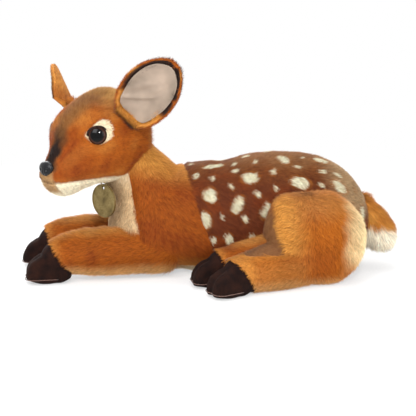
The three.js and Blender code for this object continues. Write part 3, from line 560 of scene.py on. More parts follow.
def pile(name, body, slot, points, faces, coat, comb, length, per_mm2, lift=17.0, width=0.75, seed=1, thin=None):
    """Pile fibres in clumps, each a closed three sided spike. Roots are spread over the faces by area. A clump
    leans along comb(p, n) laid on the skin, at lift degrees above it, and bears its root's colour."""
    draw = np.random.default_rng(seed)
    tris = np.vstack([faces[:, [0, 1, 2]], faces[faces[:, 3] != faces[:, 2]][:, [0, 2, 3]]])
    a, b, c = (points[tris[:, k]] for k in range(3))
    area = np.linalg.norm(np.cross(b - a, c - a), axis=1) / 2
    weight = area * (thin((a + b + c) / 3) if thin else 1.0) * ((a + b + c)[:, 2] > 4)
    count = int(weight.sum() * per_mm2)
    pick = np.searchsorted(np.cumsum(weight) / weight.sum(), (np.arange(count) + draw.random(count)) / count)
    pick = np.minimum(pick, len(tris) - 1)
    u, v = draw.random((2, count))
    flip = u + v > 1
    u[flip], v[flip] = 1 - u[flip], 1 - v[flip]
    mix = np.stack([1 - u - v, u, v], -1)[..., None]
    root = (points[tris[pick]] * mix).sum(1)
    up = (normals_of(points, faces)[tris[pick]] * mix).sum(1)
    up /= np.linalg.norm(up, axis=1, keepdims=True)
    swirl = np.stack([waves(root, SWIRL_SIZE, seed + k) for k in (11, 12, 13)], -1)
    way = comb(root, up) + SWIRL * swirl + STRAY * draw.normal(size=(count, 3))
    way -= up * (way * up).sum(1, keepdims=True)
    way /= np.maximum(np.linalg.norm(way, axis=1, keepdims=True), 1e-9)
    angle = np.radians(lift * np.clip(draw.normal(1, 0.3, count), 0.3, 2.2))[:, None]
    axis = way * np.cos(angle) + up * np.sin(angle)
    aside = np.cross(axis, up)
    aside /= np.linalg.norm(aside, axis=1, keepdims=True)
    over = np.cross(aside, axis)
    long = (length(root) if callable(length) else length) * draw.uniform(0.75, 1.15, count)
    base = root - up * ROOT_DEPTH
    half = width / 2 * draw.uniform(0.8, 1.2, count)[:, None]
    corners = np.stack([base + aside * half, base - aside * half, base + over * half * 0.8,
                        root + axis * long[:, None]], 1)
    corners[..., 2] = np.maximum(corners[..., 2], LEAST_HEIGHT)
    spikes = (np.arange(count)[:, None, None] * 4 + SPIKE).reshape(-1, 3)
    mesh = new_mesh(name, corners.reshape(-1, 3), spikes)
    set_attribute(mesh, "height", np.tile([0.0, 0.0, 0.1, 1.0], count))
    set_attribute(mesh, "clump", np.repeat(draw.random(count), 4))
    tuft = waves(root, TUFT_SIZE, seed + 20)[:, None] * TUFT
    set_attribute(mesh, "coat", np.repeat(coat(root) * (1 + tuft), 4, axis=0))
    out = np.stack([aside, -aside, over, over], 1).reshape(-1, 3) * 0.45 + np.repeat(up, 4, axis=0)
    mesh.normals_split_custom_set_from_vertices(out / np.linalg.norm(out, axis=1, keepdims=True))
    cell = np.empty(count, int)
    cell[np.lexsort((root[:, 2], np.floor(root[:, 0] / 4)))] = np.arange(count)
    across = int(np.ceil(np.sqrt(count)))
    uv = (np.stack([cell % across, cell // across], -1)[:, None] + SPIKE_UV) / across
    layer = mesh.uv_layers.new(name="OFBake")
    layer.data.foreach_set("uv", uv.reshape(-1, 2)[spikes.ravel()].astype(np.float32).ravel())
    return sewn(new_piece(name, mesh, finish("pile")), body, slot)


FILLING_INSET = 3.3  # mm from the outside of the cloth to the filling
FILLING_VOXEL = 3.4
CLOTH, FINE_CLOTH = 2.0, 1.8  # thickness in mm on the body and legs, and on the head and tail


def panel(name, body, points, faces, coat, node, slot, thickness=CLOTH):
    """One sewn panel: an outer skin with its own thickness inwards and closed edges."""
    mesh = new_mesh(name, points, faces)
    set_attribute(mesh, "coat", coat(points))
    piece = new_piece(name, mesh, finish("cloth"))
    wall = piece.modifiers.new("Solidify", "SOLIDIFY")
    wall.thickness = thickness * MM
    wall.offset = -1
    return sewn(piece, body, slot, node)


def stuff(name, body, points, faces, node):
    """Fibre filling: one closed solid."""
    shaped(name, points, faces, "fibre", body, "fibre_fill", node)


def filling(name, body, points, faces, node):
    """The stuffing inside a form: its skin drawn in by the cloth's thickness."""
    inner = relaxed(swollen(points, faces, -FILLING_INSET), faces, 2)
    stuff(name, body, *remeshed(inner, faces, FILLING_VOXEL), node)


# Touches of colour on the coat, beside the settings
TOUCHES = {
    # painted sheen along the top of the saddle's ridge
    "ridge_frost": "#b08a5c",
    # painted sheen towards the rump
    "rump_frost": "#ae9069",
    # painted rim light along the legs' upper edges
    "leg_rim": "#c98a44",
    # painted reflection of the white floor on the undersides
    "underside": "#e2ad6c",
    "golden": "#ac5d15",
    "golden_deep": "#853c0c",
    "thigh_top": "#c88643",
    "thigh_foot": "#c9803a",
    # airbrushed cream at the back of the thigh, with painted rim light over it
    "rump_cream": "#ffe4ac",
    "gusset": "#8a5c38",
    "gusset_top": "#a5571c",
    "tail_white": "#f8ecd2",
    "crown": "#ac854a",
    "eye_patch": "#e8d6b2",
}


def shade(name):
    """A colour of the coat: a touch, or else as the settings give it."""
    if name in TOUCHES:
        return linear(TOUCHES[name])
    return np.array(getattr(bpy.context.scene.fawn_coat, name))


# Cream spots of the left side: middle in mm, half length and half width, and the way of the long axis
SPOTS = np.array([
    (-34, -17, 115, 11.9, 5.4, 0.97, 0.23, 0.10), (-53, -31, 108, 2.7, 5.4, 0.99, -0.13, 0.01),
    (-57, -6, 114, 4.7, 3.1, 0.96, -0.28, 0.04), (-12, -19, 117, 3.2, 3.8, 0.80, -0.59, 0.11),
    (-12, -30, 112, 3.5, 3.6, 0.95, -0.32, 0.05), (-36, -35, 107, 2.4, 3.6, 1.00, -0.08, 0.00),
    (10, -24, 120, 2.4, 4.0, 0.98, -0.17, 0.02), (2, -2, 122, 6.3, 4.0, 0.95, 0.21, 0.25),
    (27, 9, 125, 7.7, 3.2, 0.75, 0.66, 0.00), (39, -24, 122, 10.2, 5.6, 0.45, -0.78, -0.43),
    (27, -38, 112, 5.4, 3.6, 0.64, 0.46, 0.61), (3, -39, 107, 9.6, 6.9, 0.99, -0.13, 0.10),
    (61, -17, 123, 2.5, 2.6, 0.91, -0.40, -0.10), (53, -33, 117, 4.3, 3.0, 1.00, 0.05, -0.03),
    (81, -11, 120, 9.0, 7.5, 0.82, -0.47, -0.33), (80, -34, 112, 3.8, 2.8, 0.93, -0.09, -0.35),
    (96, -31, 108, 5.6, 3.0, 0.80, -0.39, -0.46), (54, -46, 104, 11.0, 6.7, 0.99, -0.05, -0.10),
    (77, -45, 101, 3.0, 2.8, 0.97, 0.22, -0.06), (96, -42, 97, 10.1, 5.8, 0.72, 0.07, -0.69),
    (114, -31, 92, 4.9, 3.0, 0.56, -0.17, -0.81), (29, -48, 99, 1.8, 3.3, 1.00, -0.07, 0.00),
    (32, -52, 89, 1.8, 1.8, 1.00, -0.07, 0.00), (10, -49, 93, 3.7, 3.4, 0.99, -0.11, 0.01),
    (-17, -42, 100, 5.1, 1.9, 0.40, -0.63, -0.67), (-39, -46, 92, 7.3, 8.4, 1.00, -0.04, -0.01),
    (-11, -51, 83, 10.4, 5.0, 0.45, 0.29, 0.85), (-56, -50, 80, 2.1, 2.2, 1.00, -0.04, -0.01),
    (-44, -52, 68, 5.5, 9.2, 1.00, -0.02, 0.07), (-27, -52, 71, 1.1, 4.3, 1.00, -0.02, -0.01),
    (-3, -53, 69, 3.0, 4.3, 1.00, -0.06, -0.01), (18, -53, 77, 9.5, 4.6, 0.43, 0.06, 0.90),
    (-36, -52, 47, 4.7, 2.6, 0.40, -0.10, 0.91), (-20, -52, 48, 4.3, 6.7, 0.99, -0.03, 0.13),
    (4, -53, 50, 4.2, 3.0, 0.81, -0.09, 0.58), (124, -34, 68, 4.2, 8.0, 0.63, 0.78, -0.02),
])


SPOT_SHARE = 0.86  # the pile carries a spot's colour past its edge
FAR = 9.0  # a share well outside every spot and patch


def spot_rings(points):
    """How far each point lies from the nearest spot's middle, as a share of the spot's radius. The pattern of the
    left side is repeated on the right, moved back by 7 mm."""
    nearest = np.full(len(points), FAR)
    wobble = 0.08 * waves(points, 9, 5)
    mirrored = points * [1, -1, 1] - [7, 0, 0]
    for x, y, z, long, short, *axis in SPOTS:
        for p in (points, mirrored) if y < -12 else (points,):
            near = (np.abs(p - (x, y, z)) < 30).all(1)
            d = p[near] - (x, y, z)
            along = d @ axis
            across = np.sqrt(np.maximum((d**2).sum(1) - along**2, 0))
            ring = np.sqrt((along / long) ** 2 + (across / short) ** 2) / SPOT_SHARE + wobble[near]
            nearest[near] = np.minimum(nearest[near], ring)
    return nearest


def saddle_coat(p):
    """Chestnut with painted sheen along its ridge and towards the rump, and cream spots with a golden edge."""
    ring = spot_rings(p)
    # top: painted sheen, the upper saddle lightened where light catches the pile
    top = smooth(88, 124, p[:, 2] + 5 * waves(p, 40, 3)) * 0.75
    # rump: painted sheen towards the rump
    rump = smooth(84, 118, p[:, 0] + 0.3 * p[:, 2] - 20) * smooth(50, 84, p[:, 2])
    return blended(shade("chestnut"), [
        (shade("chestnut_sheen"), top),
        (shade("tan_deep"), 0.5 * smooth(0.1, 0.9, waves(p, 34, 8)) * (1 - top)),
        # painted sheen along the very top of the ridge
        (shade("ridge_frost"), 0.2 * smooth(114, 124, p[:, 2] + 3 * waves(p, 18, 9))),
        # painted sheen over the rump
        (shade("rump_frost"), 0.75 * rump),
        (shade("halo"), 0.5 * (1 - smooth(1.1, 1.5, ring))),
        (shade("spot"), 1 - smooth(0.96, 1.08, ring)),
    ])


def shoulder_coat(p):
    """Tan, with painted rim light along the back of the neck, and paler at the foot."""
    # ridge: painted rim light along the back of the neck
    ridge = smooth(100, 128, p[:, 2] + 0.25 * p[:, 0] + 25) * (1 - smooth(30, 48, np.abs(p[:, 1])))
    return blended(shade("tan"), [
        (shade("tan_deep"), 0.3 + 0.45 * smooth(-0.3, 0.7, waves(p, 42, 21))),
        (shade("tan_pale"), ridge * 0.85),
        (shade("tan_pale"), 0.6 * (1 - smooth(12, 30, p[:, 2]))),
    ])


def throat_coat(p):
    """Fawn, deeper at its foot and paler under the jaw, with tan at its left foot."""
    return blended(shade("throat"), [
        (shade("throat_deep"), 0.8 * smooth(60, 30, p[:, 2])),
        (shade("cream"), 0.35 * smooth(95, 120, p[:, 2])),
        (shade("tan"), smooth(58, 52, p[:, 2]) * smooth(-16, -24, p[:, 1])),
    ])


def belly_coat(p):
    """Cream with faint fawn patches."""
    return blended(shade("cream"), [(shade("throat"), 0.3 + 0.3 * waves(p, 30, 4))])


def gusset_coat(p):
    """Grey brown, warmer at its top."""
    return blended(shade("gusset"), [(shade("gusset_top"), 0.8 * smooth(70, 86, p[:, 2]))])


def leg_coat(m, paw):
    """Tan along the leg, with painted rim light along its upper rim, paler within paw mm of its hoof, and with a
    painted reflection of the floor underneath.
    """
    def coat(p):
        x, y, z = within(m, p).T
        side = 1 - smooth(4, 20, np.abs(y))
        return blended(shade("tan"), [
            (shade("tan_deep"), 0.6 * smooth(-0.1, 0.9, waves(p, 30, 31))),
            # painted rim light along the top of the leg
            (shade("leg_rim"), 0.75 * smooth(13, 22, z) * side),
            (shade("tan_pale"), 0.55 * (1 - smooth(paw, paw + 16, x))),
            # painted reflection of the floor underneath
            (shade("underside"), 0.85 * (1 - smooth(-20, -6, z))),
        ])
    return coat


def hind_coat(p):
    """Golden thigh that pales to cream at its back, partly its own airbrushed colour and partly painted rim light,
    and a tan shank with painted rim light along its top, and a painted reflection of the floor underneath.
    """
    x, _, z = p.T
    q = within(SHANK_AT["left"], p)
    # rim: painted rim light along the top of the shank
    rim = smooth(10, 20, q[:, 2]) * (1 - smooth(70, 92, q[:, 0]))
    # back: the thigh's airbrushed cream towards its back, with painted rim light
    back = smooth(88, 116, x + 4 * waves(p, 18, 45))
    return blended(shade("golden"), [
        (shade("golden_deep"), 0.9 * smooth(-0.4, 0.8, waves(p, 46, 44)) * smooth(100, 62, x)),
        (shade("golden_deep"), 0.7 * np.exp(-(((x - 50) / 24) ** 2 + ((z - 40) / 18) ** 2))),
        (shade("thigh_top"), 0.6 * smooth(66, 90, z)),
        (shade("thigh_foot"), 0.6 * smooth(44, 26, z) * smooth(95, 75, q[:, 0])),
        (shade("rump_cream"), 0.95 * back * smooth(8, 40, z)),
        (shade("tan_pale"), 0.9 * rim),
        (shade("tan_pale"), 0.5 * (1 - smooth(20, 34, q[:, 0]))),
        # painted reflection of the floor underneath
        (shade("underside"), 0.75 * (1 - smooth(3, 20, z))),
    ])


# Ways of combing


def comb_to(way):
    """Lays every clump the same way."""
    def comb(p, n):
        return np.tile(np.asarray(way, float), (len(p), 1))

    return comb


def comb_body(p, n):
    """Back along the spine, and down round the sides and the chest."""
    down = smooth(20, 60, np.abs(n[:, 1]) * 60) * 0.7
    front = smooth(-60, -100, p[:, 0])
    return np.stack([1 - 0.8 * front, np.zeros(len(p)), -0.15 - down - 0.5 * front], -1)


# Body


def body_form():
    """Torso and neck in one skin, flat where it lies on the floor."""
    points, faces = joined([stuffed("torso", TORSO_AT), stuffed("neck", NECK_AT, 24, 48)], 3.6, 16)
    folds = 0.9 * waves(points, 55, 61) + 0.35 * waves(points, 21, 62)
    shoulder = np.exp(-(((points[:, 0] + 60) / 22) ** 2 + ((points[:, 2] - 60) / 40) ** 2))
    points = swollen(points, faces, folds - 1.2 * shoulder)
    points[:, 2] = np.where(points[:, 2] < 1.5, 0, points[:, 2])
    return points, faces


SADDLE_SEAM, SADDLE_WAY = plane((-62.9, 0, 115.2), (75.5, 0, 24.9))
THROAT_SEAM, THROAT_WAY = plane((-118.9, 0, 105.0), (44.8, 0, 7.0))
BELLY_SEAM, BELLY_WAY = plane((0, 0, 12.8), (0, 0, 1))
SWIVEL_SEAM, _ = plane(SWIVEL, NECK_WAY)
SEAM_DEPTH, SEAM_WIDTH = 1.3, 3.0  # mm, of the groove along a seam
SEAM_REACH = 1.0  # mm from a seam within which points are drawn onto it


def out_of_head(p):
    """Whether points of the neck lie below the head that covers its end."""
    return SWIVEL_SEAM(p) < 7


def on_near_side(p):
    """How much of the saddle's pile is kept: all on the side that the camera sees, a third on the other."""
    return 0.35 + 0.65 * smooth(30, -10, p[:, 1] - 0.3 * p[:, 2] + 20)


def make_body(settings):
    """The body's four panels, their pile, the filling and the pellet pouch."""
    points, faces = body_form()
    for seam, way in ((SADDLE_SEAM, SADDLE_WAY), (THROAT_SEAM, THROAT_WAY), (BELLY_SEAM, BELLY_WAY)):
        points = sunk(points, faces, seam, SEAM_DEPTH, SEAM_WIDTH)
        points = snapped(points, faces, seam, way, SEAM_REACH)
    middle = centres(points, faces)
    saddle, throat = SADDLE_SEAM(middle) > 0, THROAT_SEAM(middle) < 0
    upper = BELLY_SEAM(middle) > 0
    on_saddle = kept(points, faces, upper & saddle)
    on_shoulder = kept(points, faces, upper & ~saddle & ~throat)
    on_throat = kept(points, faces, upper & throat)
    panel("saddle_cloth", "body", *on_saddle, saddle_coat, "saddle_skin", "chestnut_plush")
    panel("shoulder_cloth", "body", *on_shoulder, shoulder_coat, "shoulder_skin", "tan_plush")
    panel("throat_cloth", "body", *on_throat, throat_coat, "throat_panel", "fawn_plush")
    panel("belly_cloth", "body", *kept(points, faces, ~upper), belly_coat, "belly_panel", "cream_plush")
    long = settings.pile_length / MM
    pile("saddle_pile", "body", "chestnut_plush", *on_saddle, saddle_coat, comb_body,
         long * 0.66, 1.15, 15, 0.78, seed=101, thin=on_near_side)
    pile("shoulder_pile", "body", "tan_plush", *on_shoulder, shoulder_coat, comb_body,
         long * 0.72, 1.75, 16, 0.65, seed=102, thin=out_of_head)
    pile("throat_pile", "body", "fawn_plush", *on_throat, throat_coat, comb_to((0.1, 0, -1)),
         long * 0.6, 1.4, 14, 0.6, seed=103, thin=out_of_head)
    pile("belly_pile", "body", "cream_plush", *kept(points, faces, ~upper & (middle[:, 2] > 3)), belly_coat,
         comb_body, long * 0.8, 0.8, seed=104)
    filling("body_filling", "body", points, faces, "body_stuffing")
    pouch = closed_rings(stuffed("pouch", turned(-48, 0, 12), 32, 40))
    shaped("pellet_bag", *pouch, "calico", "body", "pouch_calico", "pellet_pouch")


# Hooves

TOE_TOP = ([0, 1, 3, 7, 14, 22, 50], [8, 14, 18.5, 23.5, 28, 31, 33])  # height in mm over the distance from the tip
TOE_LONG, TOE_HALF, TOE_SEAM = 48, 10.5, 6.0  # length, half width and height of the seam in mm, for a share of 1
TOE_ROUND = 0.2  # share of a toe's length in its rounded tip
TOE_AHEAD, TOE_APART, TOE_TURN = 15, 7, 3  # mm before the leg's end, mm from its middle, degrees outwards
PIPING_RADIUS = 0.45
UNDER_LEG = 34  # mm along the leg to which the suede runs on under the cloth
HOOF_SLANT = (np.cos(np.radians(32)), 0, np.sin(np.radians(32)))  # across the seam between hoof and leg
THIGH_HOOF_SLANT = (0.848, 0, 0.53)  # the same on the folded hind leg


def hoof_seam(m, start, slant=HOOF_SLANT):
    """The slanting seam over a leg's hoof, start mm along the leg."""
    return plane(at(m, (start, 0, 0)), m[:3, :3] @ slant)


def toe_tip(place):
    """The share of a toe's width at places along it, sqrt(1 - (1 - p / 0.2)^2) in its rounded tip."""
    return np.sqrt(np.clip(1 - np.clip(1 - place / TOE_ROUND, 0, 1) ** 2, 0, 1))


def toe_rings(share, m, lift):
    """A blunt toe, 48 x 21 mm for a share of 1. Its seam is an outline in a level plane. Over the seam it rises as
    a dome, below it is flatter and its sole lifts by lift mm at the tip and 5 mm at the back."""
    start = TOE_ROUND * (1 - np.cos(np.linspace(0, np.pi / 2, 16)))
    place = np.concatenate([start, np.linspace(TOE_ROUND, 0.8, 18)[1:], [0.87, 0.93, 0.97, 1.0]])
    back = toe_tip(1 - place)
    half = TOE_HALF * share * toe_tip(place) * back
    low = lift * smooth(0.36, 0, place) + 5.0 * smooth(0.7, 1.0, place)
    top = np.maximum(share * np.interp(place * 50, *TOE_TOP) * (0.45 + 0.55 * back), low + 1)
    t = np.linspace(0, 2 * np.pi, 40, endpoint=False)
    y = -half[:, None] * fuller(np.sin(t), 2.4)
    up = np.maximum(np.cos(t), 0) ** 0.8
    down = np.maximum(-np.cos(t), 0) ** 0.8
    middle = np.clip(TOE_SEAM, low, top)[:, None]
    z = middle + (top[:, None] - middle) * up - (middle - low[:, None]) * down
    x = np.broadcast_to((place * TOE_LONG * share)[:, None], z.shape)
    return at(m, np.stack([x, y, z], -1))


def toe_line(share, m):
    """The piped edge of a toe: the outline of its seam, a little outside the suede."""
    start = TOE_ROUND * (1 - np.cos(np.linspace(0, np.pi / 2, 18)))
    place = np.concatenate([start, np.linspace(TOE_ROUND, 0.7, 10)[1:]])
    half = TOE_HALF * share * toe_tip(place) + 0.2
    side = np.stack([place * TOE_LONG * share - 0.4, half, np.full_like(half, TOE_SEAM)], -1)
    return at(m, np.vstack([(side * [1, -1, 1])[::-1][:-1], side]))


def cord_rings(path, radius, sides=10):
    """Rings of a round cord along a path, closed at both ends."""
    path = np.asarray(path, float)
    along = np.gradient(path, axis=0)
    along /= np.linalg.norm(along, axis=1, keepdims=True)
    side = np.cross(along, [0.13, 0.21, 0.97])
    side /= np.linalg.norm(side, axis=1, keepdims=True)
    up = np.cross(along, side)
    t = np.linspace(0, 2 * np.pi, sides, endpoint=False)
    size = np.full(len(path), float(radius))
    size[[0, -1]] = 0.01
    ring = side[:, None] * np.cos(t)[:, None] + up[:, None] * np.sin(t)[:, None]
    return path[:, None] + ring * size[:, None, None]


def make_hoof(node, body, leg_at, share, drop, form, tip_lift):
    """Two suede toes and the end of the leg behind them grown together, with a piped seam round each toe. drop is
    from the leg's middle to the floor in mm."""
    toes = [leg_at @ turned(-TOE_AHEAD, k * TOE_APART * share, -drop, -k * TOE_TURN) for k in (-1, 1)]
    end = stuffed(form, leg_at, 72, 48, 1.2)
    end = end[: 2 + np.argmax(within(leg_at, end[:, 0])[:, 0] > UNDER_LEG)]
    points, faces = joined([*(toe_rings(share, m, tip_lift) for m in toes), end], 1.6, 4)
    points = flattened(swollen(points, faces, 0.3 * waves(points, 12, 71)))
    shaped(node + "_suede", points, faces, "suede", body, "hoof_suede", node)
    lines = [closed_rings(cord_rings(toe_line(share, m), PIPING_RADIUS)) for m in toes]
    shaped(node + "_suede_piping", *merged(lines), "piping", body, "hoof_suede")


def make_limb(name, body, form, m, coat, seed, settings):
    """A stuffed leg: its cloth from the hoof's slanting seam back, its pile and its filling."""
    points, faces = closed_rings(stuffed(form, m, 72, 72))
    folds = 0.5 * waves(points, 34, seed) + 0.3 * waves(points, 15, seed + 1)
    points = flattened(swollen(points, faces, folds))
    seam, way = hoof_seam(m, 20)
    points = snapped(points, faces, seam, way, 1.2)
    p, f = kept(points, faces, seam(centres(points, faces)) > 0)
    panel(name + "_cloth", body, p, f, coat, name + "_skin", "tan_plush")

    def shorter(q):
        return settings.pile_length / MM * (0.5 + 0.5 * smooth(4, 30, seam(q)))

    comb = comb_to(-m[:3, 0] - [0, 0, 0.25])
    pile(name + "_pile", body, "tan_plush", p, f, coat, comb, shorter, 1.2, seed=seed)
    inner = closed_rings(stuffed(form, m, 40, 40, FILLING_INSET))
    stuff(name + "_filling", body, *inner, name + "_stuffing")


def make_front_legs(settings):
    """Both forelegs and their hooves."""
    for side, seed in (("left", 201), ("right", 211)):
        m, name = FRONT_LEG_AT[side], "front_leg_" + side
        make_limb(name, name, "front_leg", m, leg_coat(m, 12), seed, settings)
        make_hoof("front_hoof_" + side, name, m, 1.0, 30.5, "front_leg", 5.5)


GUSSET_WAY = np.array([-0.9491, 0.2017, -0.2419])
GUSSET_SEAM, _ = plane(at(THIGH_AT, (52, 0, 0)) + GUSSET_WAY * 28.5, GUSSET_WAY)


def make_left_hind_leg(settings):
    """The folded hind leg in sight: thigh and shank in one skin, with a gusset let into the front of the thigh."""
    long = settings.pile_length / MM
    m = SHANK_AT["left"]
    points, faces = joined([stuffed("thigh", THIGH_AT), stuffed("shank_left", m)], 3.0, 10)
    points = flattened(points)
    crease = np.exp(-(((points[:, 0] - 56) / 9) ** 2 + ((points[:, 2] - 47) / 5) ** 2)) * (points[:, 1] < -60)
    points = swollen(points, faces, 0.7 * waves(points, 40, 301) - 2.0 * crease)
    seam, way = hoof_seam(m, 18, THIGH_HOOF_SLANT)
    points = snapped(points, faces, GUSSET_SEAM, GUSSET_WAY, SEAM_REACH)
    points = snapped(points, faces, seam, way, SEAM_REACH)
    middle = centres(points, faces)
    on_gusset = (GUSSET_SEAM(middle) > 0) & (middle[:, 2] > 39)
    p, f = kept(points, faces, (seam(middle) > 0) & ~on_gusset)
    panel("hind_leg_left_cloth", "body", p, f, hind_coat, "hind_leg_left_skin", "tan_plush")

    def comb(q, n):
        thigh = smooth(40, 75, q[:, 0])[:, None]
        return (1 - thigh) * (-m[:3, 0] - [0, 0, 0.2]) + thigh * np.array([0.35, 0, -1])

    def shorter(q):
        return long * (0.5 + 0.4 * smooth(4, 30, seam(q)))

    pile("hind_leg_left_pile", "body", "tan_plush", p, f, hind_coat, comb, shorter, 1.3, seed=311)
    p, f = kept(points, faces, on_gusset)
    panel("thigh_gusset_cloth", "body", p, f, gusset_coat, "thigh_gusset", "gusset_cloth")
    pile("thigh_gusset_pile", "body", "gusset_cloth", p, f, gusset_coat, comb_to((0, 0, -1)),
         2.6, 3.0, 40, 0.5, seed=313)
    filling("hind_leg_left_filling", "body", points, faces, "hind_leg_left_stuffing")
    make_hoof("hind_hoof_left", "body", m, 0.9, 24, "shank_left", 3.0)


def make_right_hind_leg(settings):
    """The shank that shows under the thigh, and the haunch behind it on the far side."""
    m = SHANK_AT["right"]
    make_limb("hind_leg_right", "body", "shank_right", m, leg_coat(m, 10), 321, settings)
    make_hoof("hind_hoof_right", "body", m, 0.9, 24, "shank_right", 3.0)
    points, faces = closed_rings(stuffed("haunch", HAUNCH_AT, 56, 64))
    points = flattened(swollen(points, faces, 0.7 * waves(points, 40, 331)))
    p, f = kept(points, faces, centres(points, faces)[:, 1] > 30)
    panel("haunch_right_cloth", "body", p, f, hind_coat, "haunch_right_skin", "tan_plush")
    pile("haunch_right_pile", "body", "tan_plush", p, f, hind_coat, comb_to((0.35, 0, -1)),
         settings.pile_length / MM, 0.9, seed=333)
    filling("haunch_right_filling", "body", points, faces, "haunch_right_stuffing")


# Tail

TAIL_SEAM, TAIL_WAY = plane(at(TAIL_AT, (38, 0, 0)), TAIL_AT[:3, :3] @ [-0.7193, 0, 0.6947])


def tail_coat(p):
    """Tan on the upper side, cream below the seam and at the tip."""
    x = within(TAIL_AT, p)[:, 0]
    return blended(shade("tan"), [
        (shade("tan_pale"), 0.5 + 0.4 * smooth(-0.2, 0.8, waves(p, 22, 401))),
        (shade("tan_deep"), 0.4 * (1 - smooth(-10, 12, x))),
        (shade("tail_white"), 1 - smooth(-2, 4, TAIL_SEAM(p) - 2 + 2 * waves(p, 9, 402))),
    ])


def make_tail(settings):
    """The tail's two panels, their pile and the filling."""
    points, faces = closed_rings(stuffed("tail", TAIL_AT, 60, 64))
    points = swollen(points, faces, 0.6 * waves(points, 20, 403))
    points = snapped(points, faces, TAIL_SEAM, TAIL_WAY, 0.8)
    above = TAIL_SEAM(centres(points, faces)) > 0
    top, under = kept(points, faces, above), kept(points, faces, ~above)
    panel("tail_top_cloth", "tail", *top, tail_coat, "tail_top", "tan_plush", FINE_CLOTH)
    panel("tail_under_cloth", "tail", *under, tail_coat, "tail_underside", "cream_plush", FINE_CLOTH)
    filling("tail_filling", "tail", points, faces, "tail_stuffing")
    long = settings.tail_pile / MM
    comb = comb_to(TAIL_AT[:3, 0] + [0, 0, -0.25])
    pile("tail_top_pile", "tail", "tan_plush", *top, tail_coat, comb, long * 0.8, 1.3, 16, 0.8, seed=411)
    pile("tail_under_pile", "tail", "cream_plush", *under, tail_coat, comb, long, 1.6, 24, 0.8, seed=412)


# Head, in a frame whose X runs from the nose to the nape, with its left towards -Y

EYE_RADIUS, EYE_BULGE = 9.4, 5.2
LID_RADIUS, LID_ENDS = 0.95, (12, 172)  # mm, and degrees round the eye
SIDES = {"left": 1, "right": -1}


def head_way(yaw, rise):
    """A direction in the head's frame: yaw from straight ahead, positive to its left, and rise from level."""
    yaw, rise = np.radians([yaw, rise])
    return np.array([-np.cos(yaw) * np.cos(rise), -np.sin(yaw) * np.cos(rise), np.sin(rise)])


def head_form(rings=132, sides=144):
    """Points and faces of the stuffed head before its sockets and seams."""
    return closed_rings(stuffed("head", HEAD_FORM_AT, rings, sides))


def framed(across, over, out, place):
    """A 4x4 frame of three directions and a place."""
    m = np.eye(4)
    m[:3, :3] = np.stack([across, over, out], 1)
    m[:3, 3] = place
    return m


def seat_on_head(start, way):
    """The frame on the head where a line meets it, with Z along that line and X level."""
    points, faces = head_form(64, 72)
    tree = BVHTree.FromPolygons(points.tolist(), [f[:3] if f[3] == f[2] else f for f in faces.tolist()])
    hit = tree.ray_cast(Vector(at(HEAD_AT, start)), Vector(HEAD_AT[:3, :3] @ way))[0]
    across = np.cross([0, 0, 1], way)
    across /= np.linalg.norm(across)
    turn = HEAD_AT[:3, :3]
    return framed(turn @ across, turn @ np.cross(way, across), turn @ way, hit)


def ear_frame(name):
    """The frame of an ear: X along its root, Z to its tip, hollow towards -Y."""
    side = SIDES[name]
    root = seat_on_head((0, 0, 0), head_way(side * 88, 28))
    yaw, rise, looks = {"left": (113, 36, 16), "right": (123, 14, 30)}[name]
    up = HEAD_AT[:3, :3] @ head_way(side * yaw, rise)
    opening = HEAD_AT[:3, :3] @ head_way(side * looks, 0)
    across = np.cross(-opening, up)
    across /= np.linalg.norm(across)
    return framed(across, np.cross(up, across), up, at(root, (0, 0, 1.8)))


EYE_AT = {name: seat_on_head((-5, 0, 0), head_way(side * 45, 23)) for name, side in SIDES.items()}
NOSE_AT = seat_on_head((-57, 0, -14), head_way(0, 32))
EAR_AT = {name: ear_frame(name) for name in SIDES}
JAW_SEAM, JAW_WAY = plane(at(HEAD_AT, (0, 0, -44)), HEAD_AT[:3, :3] @ [0.3584, 0, 0.9336])


# Edge of an eye's cream patch: the angle round the eye from the back in degrees and the distance in mm
PATCH_EDGE = np.array([
    (-150, 9.0), (-120, 8.9), (-90, 9.2), (-62, 10.0), (-26, 12.7), (5, 14.0), (22, 15.3), (36, 16.1), (52, 16.4),
    (72, 13.4), (90, 11.2), (113, 9.8), (140, 10.2), (166, 13.0), (175, 12.0), (190, 10.0),
])


def patch_ring(p, name):
    """How far a point lies from an eye, as a share of the way to the edge of its cream patch, which is widest
    behind and above the eye and has a corner in front of it."""
    q = within(EYE_AT[name], p)
    x, y = q[:, 0] * SIDES[name], q[:, 1]
    edge = np.interp(np.degrees(np.arctan2(y, x)), *PATCH_EDGE.T, period=360)
    return np.where(np.abs(q[:, 2]) < 22, np.hypot(x, y) / edge, FAR)


